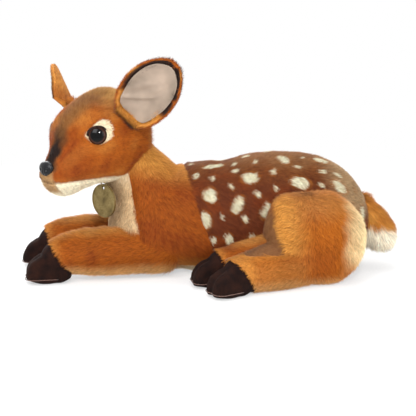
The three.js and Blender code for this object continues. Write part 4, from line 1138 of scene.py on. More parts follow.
def head_coat(p):
    """Orange tan, with a grey brown forehead that narrows to black above the nose, and cream round the eyes and
    on the jaw."""
    q = within(HEAD_AT, p)
    x, y, z = q.T
    ragged = 2 * waves(q, 14, 501)
    line = np.interp(x, [-90, -80, -70, -57, -36, -7, 15], [8, 8, 7, 8, 15, 17, 12])
    above = smooth(-5, 5, z - np.interp(x, [-95, -80, -60, -40], [-16, -11, 2, 12]))
    soft = np.interp(x, [-70, -40], [3, 8])
    brow = (1 - smooth(-1, 1, (np.abs(y) + ragged - line) / soft)) * above
    crown = smooth(-30, 8, x) * smooth(26, 42, z)
    nearest = np.minimum(patch_ring(p, "left"), patch_ring(p, "right"))
    under = 1 - smooth(-1.5, 1.5, JAW_SEAM(p))
    front = smooth(-80, -86, x) * (1 - smooth(7, 11, np.abs(y))) * smooth(-24, -18, z)
    return blended(shade("tan"), [
        (shade("tan_pale"), 0.3 * smooth(0.0, 0.9, waves(p, 30, 502))),
        (shade("tan_deep"), 0.6 * smooth(0.1, 1.0, waves(p, 26, 503))),
        (shade("tan_pale"), 0.4 * smooth(8, 0, JAW_SEAM(p)) * smooth(-30, -50, x)),
        (shade("tan_deep"), 0.6 * smooth(-44, -62, x)),
        # painted shade in the creases up the cheeks
        (shade("tan_deep"), 0.8 * crease_near(q, 3.0)),
        (shade("crown"), 0.8 * crown),
        (shade("grey_brown"), brow * (0.95 - 0.6 * smooth(-14, 12, x))),
        (shade("dark"), brow * smooth(-46, -68, x + 2 * waves(q, 9, 504))),
        (shade("cream"), under),
        (shade("lip"), front * 0.95 * smooth(4, -2, z)),
        (shade("eye_patch"), 1 - smooth(0.94, 1.04, nearest)),
    ])


def crease_near(q, width):
    """How near points of the head's frame lie to the crease that runs up each cheek from the mouth's corner."""
    start, end = np.array([-74, 10.0, 8.0]), np.array([-56, 18.8, 20.5])
    d = q * [1, -1, 1] - start
    d[:, 1] = np.abs(q[:, 1]) - start[1]
    along = np.clip(d @ (end - start) / ((end - start) ** 2).sum(), 0, 1)
    return np.exp(-((d - along[:, None] * (end - start)) ** 2).sum(1) / width**2)


def head_skin():
    """The stuffed head with its eye socket, brows, cheek creases and mouth drawn in. The far eye has no socket but a
    ridge in front of it, so that only the edge of the head shows past the bridge of the nose."""
    points, faces = head_form()
    q = within(HEAD_AT, points)
    push = 0.5 * waves(points, 38, 511) + 0.25 * waves(points, 14, 512)
    for name, m in EYE_AT.items():
        x, y, z = within(m, points).T
        near = np.abs(z) < 20
        if name == "left":
            push -= near * 2.2 * np.exp(-((np.hypot(x, y) / 13) ** 2))
        else:
            push += near * 1.8 * np.exp(-(((-x * SIDES[name] - 12) / 5) ** 2 + (y / 11) ** 2))
        push += near * 1.4 * np.exp(-(np.hypot(x / 16, (y - 15) / 7) ** 2))
    push -= 0.9 * np.exp(-((JAW_SEAM(points) / 1.8) ** 2)) * smooth(40, 20, q[:, 0])
    push -= 1.2 * crease_near(q, 1.8)
    lips = np.exp(-(((np.abs(q[:, 1]) - 8.5) / 1.2) ** 2)) * smooth(-80, -85, q[:, 0]) * smooth(-2, -8, q[:, 2])
    return swollen(points, faces, push - 0.8 * lips), faces


def in_sight(p):
    """Whether points of the head lie clear of the buttons and of the neck inside the head."""
    clear = np.ones(len(p), bool)
    for m in EYE_AT.values():
        x, y, z = within(m, p).T
        clear &= ~((np.hypot(x, y) < EYE_RADIUS - 0.5) & (np.abs(z) < 15))
    x, y, z = within(NOSE_AT, p).T
    clear &= ~((np.hypot(x / 10, y / 7) < 0.95) & (np.abs(z) < 12))
    x, y, z = within(NECK_AT, p).T
    return clear & ~((x < 86) & (np.hypot(y + 3, z) < 26))


def comb_head(p, n):
    """Back from the nose, and down the cheeks."""
    side = smooth(8, 30, np.abs(within(HEAD_AT, p)[:, 1]))[:, None]
    return HEAD_AT[:3, 0] - 0.35 * side * HEAD_AT[:3, 2]


def make_head(settings):
    """The head's panels, their pile and the filling."""
    points, faces = head_skin()
    points = snapped(points, faces, JAW_SEAM, JAW_WAY, 0.7)
    middle = centres(points, faces)
    jaw = JAW_SEAM(middle) < 0
    patches = {name: (patch_ring(middle, name) < 1) & ~jaw for name in SIDES}
    parts = [("head_cloth", ~jaw & ~patches["left"] & ~patches["right"], "head_skin", "tan_plush"),
             ("jaw_cloth", jaw, "jaw_panel", "cream_plush")]
    for name in SIDES:
        parts.append(("eye_patch_" + name + "_cloth", patches[name], "eye_patch_" + name, "cream_plush"))
    for name, keep, node, slot in parts:
        panel(name, "head", *kept(points, faces, keep), head_coat, node, slot, FINE_CLOTH)
    filling("head_filling", "head", points, faces, "head_stuffing")
    short = settings.face_pile / MM

    def longer_back(p):
        """Longer towards the nape, and a fringe in front of the far eye."""
        x = within(HEAD_AT, p)[:, 0]
        e = within(EYE_AT["right"], p)
        fringe = np.exp(-(((np.hypot(e[:, 0], e[:, 1]) - 11) / 3) ** 2)) * smooth(-2, 4, e[:, 0])
        return short * (0.75 + 0.75 * smooth(-60, 30, x) + 1.1 * smooth(22, 42, x) + 1.2 * fringe)

    pile("head_pile", "head", "tan_plush", *kept(points, faces, ~jaw), head_coat, comb_head,
         longer_back, 1.9, 20, 0.5, seed=521, thin=in_sight)
    pile("jaw_pile", "head", "cream_plush", *kept(points, faces, jaw), head_coat, comb_head,
         short, 2.0, 22, 0.5, seed=522, thin=in_sight)


def dome_rings(m, radius, bulge, rings=40, sides=96, tall=1.0):
    """A button's dome: radius(a) = radius x cos a and height(a) = bulge x sin a, over a straight foot 1 mm deep with
    a flat back, and tall times as high as it is wide."""
    a = np.linspace(0, np.pi / 2, rings)
    out = np.concatenate([[0.0, radius * 0.6, radius, radius], radius * np.cos(a)])[:, None]
    high = np.concatenate([[-1, -1, -1, -0.5], bulge * np.sin(a)])[:, None]
    t = np.linspace(0, 2 * np.pi, sides, endpoint=False)
    x = out * np.cos(t)
    return at(m, np.stack([x, out * np.sin(t) * tall, np.broadcast_to(high, x.shape)], -1))


def set_finish(node, name):
    """Gives a CAD node that stays a finish of its own."""
    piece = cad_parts[node]
    if not piece.material_slots:
        piece.data.materials.append(finish(name))
        return
    for slot in piece.material_slots:
        slot.link = "OBJECT"
        slot.material = finish(name)


def make_button(name):
    """One eye button, with the place of each point on it for its iris."""
    m = EYE_AT[name]
    points, faces = closed_rings(dome_rings(m, EYE_RADIUS, EYE_BULGE))
    x, y, _ = within(m, points).T
    shaped("eye_button_" + name, points, faces, "eye", "head", "eye_button", "eye_" + name,
           away=np.hypot(x, y) / EYE_RADIUS, turn=np.arctan2(y, x))
    set_finish("eye_washer_" + name, "plastic")


def make_lid(name):
    """A roll of dark cloth over an eye, for the dark shading above it, partly airbrushed and partly painted shade:
    reach(t) round it falls by 1.5 mm and rise(t) off it grows by 2.4 mm to the middle of the lid."""
    t = np.radians(np.linspace(*LID_ENDS, 40))
    arch = np.sin(np.linspace(0, np.pi, 40))
    reach = EYE_RADIUS + 0.5 - 1.5 * arch**2
    path = at(EYE_AT[name], np.stack([reach * np.cos(t), reach * np.sin(t), 1.0 + 2.4 * arch], -1))
    points, faces = closed_rings(cord_rings(path, LID_RADIUS, 14))
    # the lid's dark colour is partly airbrushed shading and partly painted shade above the eye
    shaped("eyelid_" + name, points, faces, "cloth", "head", "tan_plush",
           coat=np.tile(shade("dark") * 1.3, (len(points), 1)))


def make_eyes():
    """Both eye buttons, and the lid over the near one. The far lid would be sunk in the pile."""
    make_button("left")
    make_lid("left")
    make_button("right")


def make_nose():
    """A moulded nose: an oval dome, wider at its top, with a nostril at each side and a groove below."""
    x, y, z = np.moveaxis(dome_rings(np.eye(4), 9.5, 4.5, 48, 112, 15 / 19), -1, 0)
    taper = 1 + 0.12 * np.clip(y / 7, -1, 1)
    for side in (-1, 1):
        z = z - 1.5 * np.exp(-(((x - side * 4.7) / 1.8) ** 2 + ((y + 1.2) / 1.5) ** 2)) * (z > 0.2)
    z = z - 0.7 * np.exp(-((x / 0.9) ** 2)) * smooth(1, -4, y) * (z > 0.2)
    rings = at(NOSE_AT, np.stack([x * taper, y, z], -1))
    shaped("nose_button", *closed_rings(rings), "nose", "head", "nose_button", "nose")
    set_finish("nose_washer", "plastic")


# Ears

EAR_LENGTH, EAR_WIDE, EAR_THICK, EAR_CUPPED = 83.0, 54.0, 3.0, 13.0


def ear_cup(name, along):
    """How far an ear's rim curls forward at places along it in mm."""
    return EAR_CUPPED * np.interp(along / EAR_LENGTH, *column(EAR_CUP[name], 1))


def rounded(table):
    """A table's columns with the corners rounded off, less so towards its end: 101 places, and the mean of the
    values near each."""
    place = np.linspace(0, 1, 101)
    near = place[:, None] + np.linspace(-0.09, 0.09, 19) * (1 - place[:, None])
    return place, np.interp(near, *column(table, 1)).mean(1)


def ear_half(name, along):
    """Half the width of an ear at places along it in mm."""
    return EAR_WIDE * np.interp(along / EAR_LENGTH, *rounded(EAR_WIDTH[name]))


def ear_depth(name, q):
    """How far points of an ear's frame lie behind its front face, and how far from its rim."""
    half = ear_half(name, q[:, 2])
    curl = ear_cup(name, q[:, 2]) * np.clip(np.abs(q[:, 0]) / half, 0, 1) ** 2
    return q[:, 1] + curl, np.minimum(half - np.abs(q[:, 0]), (EAR_LENGTH - q[:, 2]) * 0.9)


def ear_sheet(name, front, edge, rows, strips, fold=None):
    """One face of a cupped leaf. Along it p runs from 0 to 1 and across it s from -1 to 1: a point is (s w(p),
    front - cup(p) s^2, p length), with w the half width."""
    p = np.linspace(0, 1, rows)[:, None]
    p = (1 - np.cos(p * np.pi)) / 2 * 0.5 + p * 0.5
    s = np.linspace(-1, 1, strips)[None]
    along = edge + p * (EAR_LENGTH - 2 * edge)
    half = ear_half(name, along)
    room = np.maximum(half - edge, edge / 2)
    if edge:
        room = room * np.sqrt(np.clip(1 - (np.clip(np.abs(2 * p - 1) - 0.78, 0, 1) / 0.225) ** 2, 0.02, 1))
    wide = s * room
    y = front - ear_cup(name, along) * (wide / half) ** 2
    if fold is not None:
        y = y + fold(wide, along)
    return np.stack([wide, y, along + 0 * s], -1)


def leaf_rings(name, front, back, edge, rows=56, strips=33, fold=None):
    """A leaf of cloth with a rounded edge, as rings that run up it: over its front and back along its back."""
    a = ear_sheet(name, front, edge, rows, strips, fold)
    b = ear_sheet(name, back, edge, rows, strips)[:, ::-1]
    return at(EAR_AT[name], np.concatenate([a, b], 1))


FAR_EAR_TAN = 0.35  # share of the tan in the paler colour of the far ear


def ear_coat(name):
    """Tan outside and round the rim, with a dark band inside the upper part of the rim."""
    base = shade("tan")
    if name == "right":
        base = blended(shade("tan_pale"), [(base, np.full(1, FAR_EAR_TAN))])[0]

    def coat(p):
        q = within(EAR_AT[name], p)
        depth, rim = ear_depth(name, q)
        inside = (1 - smooth(0.3, 1.6, depth)) * smooth(0.9, 1.9, rim + 0.4 * waves(p, 7, 602))
        high = smooth(26, 36, q[:, 2] - 10 * q[:, 0] / EAR_WIDE * SIDES[name])
        return blended(base, [
            (shade("tan_pale"), 0.5 * smooth(0.1, 0.9, waves(p, 24, 601))),
            # painted shade in the crease at the ear's root
            (shade("tan_deep"), 0.6 * (1 - smooth(6, 22, q[:, 2]))),
            (shade("tan_pale"), 0.7 * inside * (1 - high)),
            (shade("dark"), inside * high),
        ])

    return coat


def satin_fold(side):
    """The satin's relief on one side's ear: a broad diagonal fold, with fainter ones beside it."""
    def fold(wide, along):
        u = wide * side * 0.55 + (along - 40) * 0.83
        v = wide * side * -0.83 + (along - 40) * 0.55
        main = 2.4 * np.exp(-(((v + 4 - 0.01 * u**2) / 2.8) ** 2)) * np.exp(-(((u + 4) / 26) ** 2))
        other = 1.2 * np.exp(-(((v - 9) / 3.4) ** 2)) * np.exp(-(((u - 2) / 20) ** 2))
        return -(main + other) - 0.35 * np.sin(u / 5.5 + v / 9)

    return fold


ROLL_HALF, ROLL_RADIUS = 13.5, 4.0  # the rolled root of an ear
SATIN_EDGE = 5.0  # mm from the rim of an ear to its lining
BAND_DEPTH = 1.5  # mm from the front of an ear's cloth within which the pile counts as being inside


def make_ear(name, m, seed, short):
    """One ear: its cloth, the roll at its root, its satin lining, and pile on its back, band, rim and root."""
    body, coat = "ear_" + name, ear_coat(name)
    points, faces = closed_rings(leaf_rings(name, 0.0, EAR_THICK, 0.0))
    shaped(body + "_cloth", points, faces, "cloth", body, "tan_plush", body, coat=coat(points))
    path = at(m, np.stack([np.linspace(-ROLL_HALF, ROLL_HALF, 30), np.zeros(30), np.zeros(30)], -1))
    roll, roll_faces = closed_rings(cord_rings(path, ROLL_RADIUS, 24))
    shaped(body + "_root", roll, roll_faces, "cloth", body, "tan_plush", coat=coat(roll))
    satin = closed_rings(leaf_rings(name, -1.5, -0.3, SATIN_EDGE, 64, 41, satin_fold(SIDES[name])))
    shaped(body + "_satin", *satin, "satin", body, "ear_satin", "ear_lining_" + name)

    def on_back(p):
        return ear_depth(name, within(m, p))[0] > BAND_DEPTH

    def on_band(p):
        q = within(m, p)
        depth, rim = ear_depth(name, q)
        return (depth < BAND_DEPTH) & (rim > 2.0) & (rim < 6.0) & (q[:, 2] > 3)

    def on_rim(p):
        depth, rim = ear_depth(name, within(m, p))
        return (depth < BAND_DEPTH) & (rim < 1.8)

    def comb_out(p, n):
        return p - at(m, (0, 0, 40)) + [0, 0, 8]

    def comb_in(p, n):
        """Towards the middle of the hollow, over the lining's edge."""
        return at(m, (0, 0, 46)) - p

    up = comb_to(m[:3, 2])
    for part, skin, comb, length, per_mm2, lift, width, step, thin in (
        ("_pile", (points, faces), up, short, 2.2, 16, 0.5, 0, on_back),
        ("_band", (points, faces), comb_in, short * 0.9, 4.6, 20, 0.5, 1, on_band),
        ("_rim", (points, faces), comb_out, short * 0.6, 4.0, 40, 0.5, 3, on_rim),
        ("_root_pile", (roll, roll_faces), up, short * 1.6, 3.4, 26, 0.6, 2, None),
    ):
        pile(body + part, body, "tan_plush", *skin, coat, comb, length, per_mm2, lift, width, seed + step, thin)


def make_ears(settings):
    """Both ears."""
    for name, seed in (("left", 611), ("right", 621)):
        make_ear(name, EAR_AT[name], seed, settings.face_pile / MM)


# Medallion, ring and cord

LOOP_AT = turned(-146.5, -31, 104, 222)
LOOP_RADIUS = 0.6
LOOP_ROUTE = [
    (-14, -2.2, 2.2), (-4.4, -2.2, 1.1), (-1.1, -1.467, 0), (0, 0, 0),
    (-1.1, 1.467, 0), (-4.4, 2.2, 1.1), (-14, 2.2, 2.2),
]


def smooth_route(route, steps=12):
    """Points on a Catmull-Rom curve through a route: each stretch p(t) is the cubic that leaves and reaches its ends
    in the way of their neighbours."""
    route = np.array(route, float)
    ends = np.vstack([2 * route[0] - route[1], route, 2 * route[-1] - route[-2]])
    t = np.linspace(0, 1, steps, endpoint=False)[:, None]
    stretches = []
    for a, b, c, d in zip(ends, ends[1:], ends[2:], ends[3:]):
        bend, twist = 2 * a - 5 * b + 4 * c - d, 3 * b - a - 3 * c + d
        stretches.append(b + t / 2 * (c - a) + t**2 / 2 * bend + t**3 / 2 * twist)
    return np.vstack([*stretches, route[-1:]])


def make_medallion():
    """The brass stays as CAD. The loop is a thread sewn into the throat seam at both ends."""
    for node in ("medallion", "jump_ring"):
        set_finish(node, "brass")
    path = at(LOOP_AT, smooth_route(LOOP_ROUTE))
    skin = closed_rings(cord_rings(path, LOOP_RADIUS, 12))
    thread = shaped("throat_thread", *skin, "cord", "body", "loop_cord", "throat_loop")


# Materials. A noise of scale s has features about 1 / s metres wide

def mottled(name, tones, cloud, relief=None, **shine):
    """A finish mottled between tones by noise, given as its scale and detail, with finer noise in relief, given as
    its scale, its detail, its strength and its height in metres."""
    material, add = new_finish(name)
    where = add("TexCoord")["Object"]
    mottle = add("TexNoise", Vector=where, Scale=cloud[0], Detail=cloud[1])["Fac"]
    tone = ramp_stops(add("ValToRGB", Fac=mottle), tones)["Color"]
    if relief:
        scale, detail, strength, height = relief
        grain = add("TexNoise", Vector=where, Scale=scale, Detail=detail)["Fac"]
        shine["Normal"] = add("Bump", Strength=strength, Distance=height, Height=grain)["Normal"]
    add("OutputMaterial", Surface=add("BsdfPrincipled", Base_Color=tone, **shine)["BSDF"])
    return material


def fibre_finish():
    """Polyester fibre filling: white, soft and matt, in tangled clumps 3 mm wide."""
    return mottled("polyester_filling", [(0.3, "#cfcac0"), (0.7, "#f2efe8")], (350.0, 6.0),
                   (350.0, 6.0, 0.8, 0.002), Roughness=0.95)


def calico_finish():
    """Unbleached woven cotton: plain weave of threads 0.5 mm wide and 1 mm apart, matt."""
    material, add = new_finish("woven_calico")
    where = add("TexCoord")["Object"]
    warp = add("TexWave", {"bands_direction": "X"}, Vector=where, Scale=320.0)["Fac"]
    weft = add("TexWave", {"bands_direction": "Y"}, Vector=where, Scale=320.0)["Fac"]
    weave = add("Math", {"operation": "MAXIMUM"}, i0=warp, i1=weft)["Value"]
    tone = ramp_stops(add("ValToRGB", Fac=weave), [(0.2, "#b8ab8d"), (0.8, "#ddd2b8")])["Color"]
    bump = add("Bump", Strength=0.4, Distance=0.0003, Height=weave)["Normal"]
    add("OutputMaterial", Surface=add("BsdfPrincipled", Base_Color=tone, Roughness=0.9, Normal=bump)["BSDF"])
    return material


def suede_finish():
    """Dark brown brushed microsuede: matt, with patches 9 mm wide that are lighter where the nap lies over, and a
    0.6 mm grain, drawn coarser than real so that it shows."""
    return mottled("brushed_suede", [(0.35, "#120604"), (0.68, "#241009")], (110.0, 3.0),
                   (1600.0, 3.0, 0.5, 0.0006), Roughness=0.95, Specular_IOR_Level=0.15, Sheen_Weight=0.03,
                   Sheen_Roughness=0.35, Sheen_Tint=rgba("#8a6a5c"))


def piping_finish():
    """Edge piping of lighter brown suede, its nap in 2 mm patches."""
    return mottled("suede_piping", [(0.3, "#432820"), (0.7, "#634335")], (500.0, 2.0), Roughness=0.85,
                   Sheen_Weight=0.3)


def satin_finish():
    """Polyester satin: smooth 0.4 mm floats of thread that shine softly along their folds, over a pale greige that
    clouds every 20 mm."""
    return mottled("polyester_satin", [(0.3, "#7c6e60"), (0.7, "#9b8979")], (45.0, 2.0),
                   (2600.0, 2.0, 0.12, 0.0002), Roughness=0.45, Specular_IOR_Level=0.25, Sheen_Weight=0.05,
                   Sheen_Roughness=0.3)


def plastic_finish():
    """White moulded nylon washer, with a faint 1 mm mould texture."""
    return mottled("moulded_nylon", [(0.3, "#e3e1da"), (0.7, "#efeee9")], (900.0, 2.0),
                   (900.0, 2.0, 0.1, 0.0002), Roughness=0.4)


def eye_finish():
    """Acrylic eye button: a black pupil in a brown iris with fine rays, under a clear gloss."""
    material, add = new_finish("acrylic_eye")
    away = add("Attribute", {"attribute_name": "away"})["Fac"]
    turn = add("Attribute", {"attribute_name": "turn"})["Fac"]
    rays = add("CombineXYZ", X=away, Y=turn)["Vector"]
    ray = add("TexNoise", Vector=rays, Scale=9.0, Detail=3.0)["Fac"]
    pupil = [(0.0, "#020202"), (0.64, "#020202")]
    iris = [(0.72, "#1e0e07"), (0.84, "#3a2015"), (0.94, "#1e0f08"), (1.0, "#080404")]
    ring = ramp_stops(add("ValToRGB", Fac=away), pupil + iris)["Color"]
    value = add("MapRange", i0=ray, i3=0.6, i4=1.5)["Result"]
    tone = add("HueSaturation", Color=ring, Value=value)["Color"]
    shader = add("BsdfPrincipled", Base_Color=tone, Roughness=0.07, Specular_IOR_Level=0.18)["BSDF"]
    add("OutputMaterial", Surface=shader)
    return material


def nose_finish():
    """Moulded black plastic with a fine leather grain, 0.9 mm a cell, and a soft gloss."""
    material, add = new_finish("moulded_nose")
    where = add("TexCoord")["Object"]
    grain = add("TexVoronoi", Vector=where, Scale=1100.0)["Distance"]
    bump = add("Bump", Strength=0.25, Distance=0.0003, Height=grain)["Normal"]
    cloud = add("TexNoise", Vector=where, Scale=200.0)["Fac"]
    tone = ramp_stops(add("ValToRGB", Fac=cloud), [(0.3, "#050608"), (0.7, "#0c0d11")])["Color"]
    shader = add("BsdfPrincipled", Base_Color=tone, Roughness=0.3, Normal=bump, Specular_IOR_Level=0.3)["BSDF"]
    add("OutputMaterial", Surface=shader)
    return material


def brass_finish():
    """Antiqued brass: polished metal under a brown lacquer that clouds every 9 mm and has stayed in its 1 mm pits."""
    material, add = new_finish("antiqued_brass")
    where = add("TexCoord")["Object"]
    pits = add("TexNoise", Vector=where, Scale=900.0, Detail=4.0)["Fac"]
    cloud = add("TexNoise", Vector=where, Scale=110.0, Detail=2.0)["Fac"]
    both = add("Math", {"operation": "MULTIPLY"}, i0=pits, i1=cloud)["Value"]
    tone = ramp_stops(add("ValToRGB", Fac=both), [(0.1, "#5a4c2c"), (0.26, "#7f6d42"), (0.45, "#948254")])["Color"]
    rough = add("MapRange", i0=both, i1=0.1, i2=0.45, i3=0.55, i4=0.32)["Result"]
    bump = add("Bump", Strength=0.25, Distance=0.0003, Height=pits)["Normal"]
    shader = add("BsdfPrincipled", Base_Color=tone, Metallic=0.85, Roughness=rough, Normal=bump)["BSDF"]
    add("OutputMaterial", Surface=shader)
    return material


def cord_finish():
    """Golden metallic thread: a bright gloss with a twist every 1.3 mm, drawn coarser than real so that it shows."""
    material, add = new_finish("gold_thread")
    where = add("TexCoord")["Object"]
    twist = add("TexWave", {"bands_direction": "DIAGONAL"}, Vector=where, Scale=500.0)["Fac"]
    tone = ramp_stops(add("ValToRGB", Fac=twist), [(0.2, "#a8873f"), (0.8, "#e2c684")])["Color"]
    add("OutputMaterial", Surface=add("BsdfPrincipled", Base_Color=tone, Roughness=0.45, Metallic=0.4)["BSDF"])
    return material


MAKERS = {
    "pile": pile_finish,
    "cloth": cloth_finish,
    "fibre": fibre_finish,
    "calico": calico_finish,
    "suede": suede_finish,
    "piping": piping_finish,
    "satin": satin_finish,
    "eye": eye_finish,
    "nose": nose_finish,
    "plastic": plastic_finish,
    "brass": brass_finish,
    "cord": cord_finish,
}


# Camera, lights, floor

AZIMUTH, ELEVATION, DISTANCE = -5.0, 12.0, 1080.0  # degrees round from the left side, degrees down, mm
LENS, FILM, FARTHEST = 85.0, 36.0, 20.0  # mm, mm, m
AIM = (-35.2, 65.7)  # mm to the right of the origin and up from it, as the camera sees it
FLOOR_HALF = 4000
LAMPS = (  # name, place and aim in mm, size in m, watts
    ("key", (-700, -900, 950), (-40, -20, 90), 0.75, 10.5),
    ("fill", (900, -900, 500), (40, -20, 80), 0.9, 5.4),
    ("top", (-60, 250, 1150), (0, 0, 80), 0.9, 8.0),
    ("rim", (-500, 900, 700), (-60, 0, 120), 0.6, 7.0),
    ("catch", (-60, -1000, 620), (-150, -60, 158), 0.09, 7.0),
)


def look(piece, where, target):
    """Stands a camera or lamp at a place in mm, turned to look at another."""
    way = Vector(target) - Vector(where)
    piece.rotation_euler = way.to_track_quat("-Z", "Y").to_euler()
    piece.location = Vector(where) * MM


def make_camera():
    """The camera that the photograph was taken with."""
    az, el = np.radians([AZIMUTH, ELEVATION])
    back = np.array([np.sin(az) * np.cos(el), -np.cos(az) * np.cos(el), np.sin(el)])
    right = np.array([np.cos(az), np.sin(az), 0.0])
    target = right * AIM[0] + np.cross(back, right) * AIM[1]
    camera = bpy.data.cameras.new("camera")
    camera.lens, camera.sensor_width, camera.clip_end = LENS, FILM, FARTHEST
    eye = bpy.data.objects.new("camera", camera)
    bpy.context.scene.collection.objects.link(eye)
    look(eye, target + back * DISTANCE, target)
    bpy.context.scene.camera = eye


def make_world():
    """A white backdrop that lights the fawn at 0.55 and shows full white to the camera and in what shines."""
    world = bpy.data.worlds.new("studio")
    bpy.context.scene.world = world
    world.use_nodes = True
    add = node_adder(world.node_tree)
    path = add("LightPath")
    seen = add("Math", {"operation": "MAXIMUM"}, i0=path["Is Camera Ray"], i1=path["Is Transmission Ray"])["Value"]
    also = add("Math", {"operation": "MAXIMUM"}, i0=seen, i1=path["Is Glossy Ray"])["Value"]
    strength = add("MapRange", i0=also, i3=0.55, i4=1.0)["Result"]
    add("OutputWorld", Surface=add("Background", Color=rgba("#ffffff"), Strength=strength)["Background"])


def make_stage():
    """Camera, lamps, floor and backdrop."""
    make_camera()
    for name, where, aim, metres, watts in LAMPS:
        lamp = bpy.data.lights.new(name, "AREA")
        lamp.energy, lamp.size = watts, metres
        piece = bpy.data.objects.new(name, lamp)
        bpy.context.scene.collection.objects.link(piece)
        look(piece, where, aim)
    corners = np.array([(-1, -1, 0), (1, -1, 0), (1, 1, 0), (-1, 1, 0)]) * FLOOR_HALF
    new_piece("floor", new_mesh("floor", corners, [[0, 1, 2, 3]]), floor_finish())
    make_world()
    bpy.context.scene.view_settings.view_transform = "Standard"


def floor_finish():
    """A matt white paper floor that shows white with the fawn's shadow on it."""
    material, add = new_finish("white_paper")
    path = add("LightPath")
    where = add("TexCoord")["Object"]
    grain = add("TexNoise", Vector=where, Scale=400.0)["Fac"]
    tone = ramp_stops(add("ValToRGB", Fac=grain), [(0.3, "#f4f4f4"), (0.7, "#ffffff")])["Color"]
    matt = add("BsdfDiffuse", Color=tone)["BSDF"]
    glow = add("Emission", Strength=1.0)["Emission"]
    seen = add("Math", {"operation": "MAXIMUM"}, i0=path["Is Camera Ray"], i1=path["Is Glossy Ray"])["Value"]
    reach = add("VectorMath", {"operation": "LENGTH"}, i0=where)["Value"]
    near = add("MapRange", i0=reach, i1=0.25, i2=0.8, i3=0.55, i4=1.0)["Result"]
    share = add("Math", {"operation": "MULTIPLY"}, i0=seen, i1=near)["Value"]
    both = add("MixShader", i0=share, i1=matt, i2=glow)["Shader"]
    add("OutputMaterial", Surface=both)
    return material


# The add-on

def colour(label, words, value):
    """A colour setting, from an sRGB hex colour."""
    return bpy.props.FloatVectorProperty(
        name=label, description=words, subtype="COLOR", size=3, min=0, max=1, default=tuple(linear(value))
    )


def size(label, words, mm):
    """A length setting, from mm."""
    return bpy.props.FloatProperty(name=label, description=words, default=mm * MM, min=0.001, max=0.05, unit="LENGTH")


class FawnCoat(bpy.types.PropertyGroup):
    """Colours of the pile."""
    tan: colour("Tan", "Body, legs and head", "#9c4f12")
    tan_deep: colour("Deep tan", "Shaded patches of the tan", "#80380e")
    # pale tan also paints rim light along the back of the neck and the tops of the hind shanks
    tan_pale: colour("Pale tan", "Brushed upper edges of the tan", "#cf8d3f")
    chestnut: colour("Chestnut", "Saddle", "#5f2c13")
    # painted sheen along the top of the saddle
    chestnut_sheen: colour("Chestnut sheen", "Ridge of the saddle", "#74431d")
    spot: colour("Spot", "Spots on the saddle", "#cdc6a8")
    halo: colour("Halo", "Edge round each spot", "#9c5a1c")
    cream: colour("Cream", "Jaw, belly, tail and eye patches", "#f0e2c2")
    throat: colour("Throat", "Throat panel", "#c6a57c")
    throat_deep: colour("Deep throat", "Foot of the throat panel", "#96744f")
    grey_brown: colour("Grey brown", "Forehead", "#7c5128")
    lip: colour("Lip", "Lip below the nose", "#a47d51")
    dark: colour("Dark", "Bridge of the nose and inside of the ears", "#21140f")


class FawnSizes(bpy.types.PropertyGroup):
    """Lengths of the pile."""
    pile_length: size("Pile length", "Length of the pile on the body and the legs", 9.0)
    face_pile: size("Face pile", "Length of the pile on the face and the ears", 4.0)
    tail_pile: size("Tail pile", "Length of the pile under the tail", 13.0)


def sizes():
    """The lengths as they are set."""
    return bpy.context.scene.fawn_sizes


class SewBody(bpy.types.Operator):
    """Sews the body's panels, its pile and its filling"""
    bl_idname = "fawn.body"
    bl_label = "Body"

    def execute(self, context):
        make_body(sizes())
        return {"FINISHED"}


class SewFrontLegs(bpy.types.Operator):
    """Sews the front legs and their hooves"""
    bl_idname = "fawn.front_legs"
    bl_label = "Front legs"

    def execute(self, context):
        make_front_legs(sizes())
        return {"FINISHED"}


class SewHindLegs(bpy.types.Operator):
    """Sews the folded hind legs, the gusset and their hooves"""
    bl_idname = "fawn.hind_legs"
    bl_label = "Hind legs"

    def execute(self, context):
        make_left_hind_leg(sizes())
        make_right_hind_leg(sizes())
        return {"FINISHED"}


class SewTail(bpy.types.Operator):
    """Sews the tail"""
    bl_idname = "fawn.tail"
    bl_label = "Tail"

    def execute(self, context):
        make_tail(sizes())
        return {"FINISHED"}


class SewHead(bpy.types.Operator):
    """Sews the head, its jaw and its eye patches"""
    bl_idname = "fawn.head"
    bl_label = "Head"

    def execute(self, context):
        make_head(sizes())
        return {"FINISHED"}


class SetEyes(bpy.types.Operator):
    """Sets the eye buttons under their lids"""
    bl_idname = "fawn.eyes"
    bl_label = "Eyes"

    def execute(self, context):
        make_eyes()
        return {"FINISHED"}


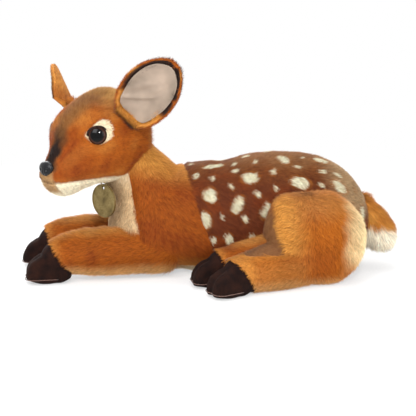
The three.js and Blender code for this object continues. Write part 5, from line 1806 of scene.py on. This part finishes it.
class SetNose(bpy.types.Operator):
    """Sets the nose button"""
    bl_idname = "fawn.nose"
    bl_label = "Nose"

    def execute(self, context):
        make_nose()
        return {"FINISHED"}


class SewEars(bpy.types.Operator):
    """Sews the ears and their satin linings"""
    bl_idname = "fawn.ears"
    bl_label = "Ears"

    def execute(self, context):
        make_ears(sizes())
        return {"FINISHED"}


class HangMedallion(bpy.types.Operator):
    """Finishes the medallion, its ring and its cord"""
    bl_idname = "fawn.medallion"
    bl_label = "Medallion"

    def execute(self, context):
        make_medallion()
        return {"FINISHED"}


class SetStage(bpy.types.Operator):
    """Sets up the camera, the lamps, the floor and the backdrop"""
    bl_idname = "fawn.stage"
    bl_label = "Stage"

    def execute(self, context):
        make_stage()
        return {"FINISHED"}


STEPS = (SetStage, SewBody, SewFrontLegs, SewHindLegs, SewTail, SewHead, SetEyes, SetNose, SewEars, HangMedallion)


class FawnPanel(bpy.types.Panel):
    """Lists the fawn's steps, sizes and colours"""
    bl_idname = "VIEW3D_PT_fawn"
    bl_label = "Plush fawn"
    bl_space_type = "VIEW_3D"
    bl_region_type = "UI"
    bl_category = "Fawn"

    def draw(self, context):
        for group in (context.scene.fawn_sizes, context.scene.fawn_coat):
            for name in group.__annotations__:
                self.layout.prop(group, name)
        for step in STEPS:
            self.layout.operator(step.bl_idname)


CLASSES = (FawnCoat, FawnSizes, *STEPS, FawnPanel)


def register():
    for cls in CLASSES:
        bpy.utils.register_class(cls)
    bpy.types.Scene.fawn_coat = bpy.props.PointerProperty(type=FawnCoat)
    bpy.types.Scene.fawn_sizes = bpy.props.PointerProperty(type=FawnSizes)


def unregister():
    del bpy.types.Scene.fawn_sizes
    del bpy.types.Scene.fawn_coat
    for cls in reversed(CLASSES):
        bpy.utils.unregister_class(cls)


def main():
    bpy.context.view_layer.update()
    register()
    for step in STEPS:
        group, name = step.bl_idname.split(".")
        getattr(getattr(bpy.ops, group), name)()
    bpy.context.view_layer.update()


if __name__ == "__main__":
    main()
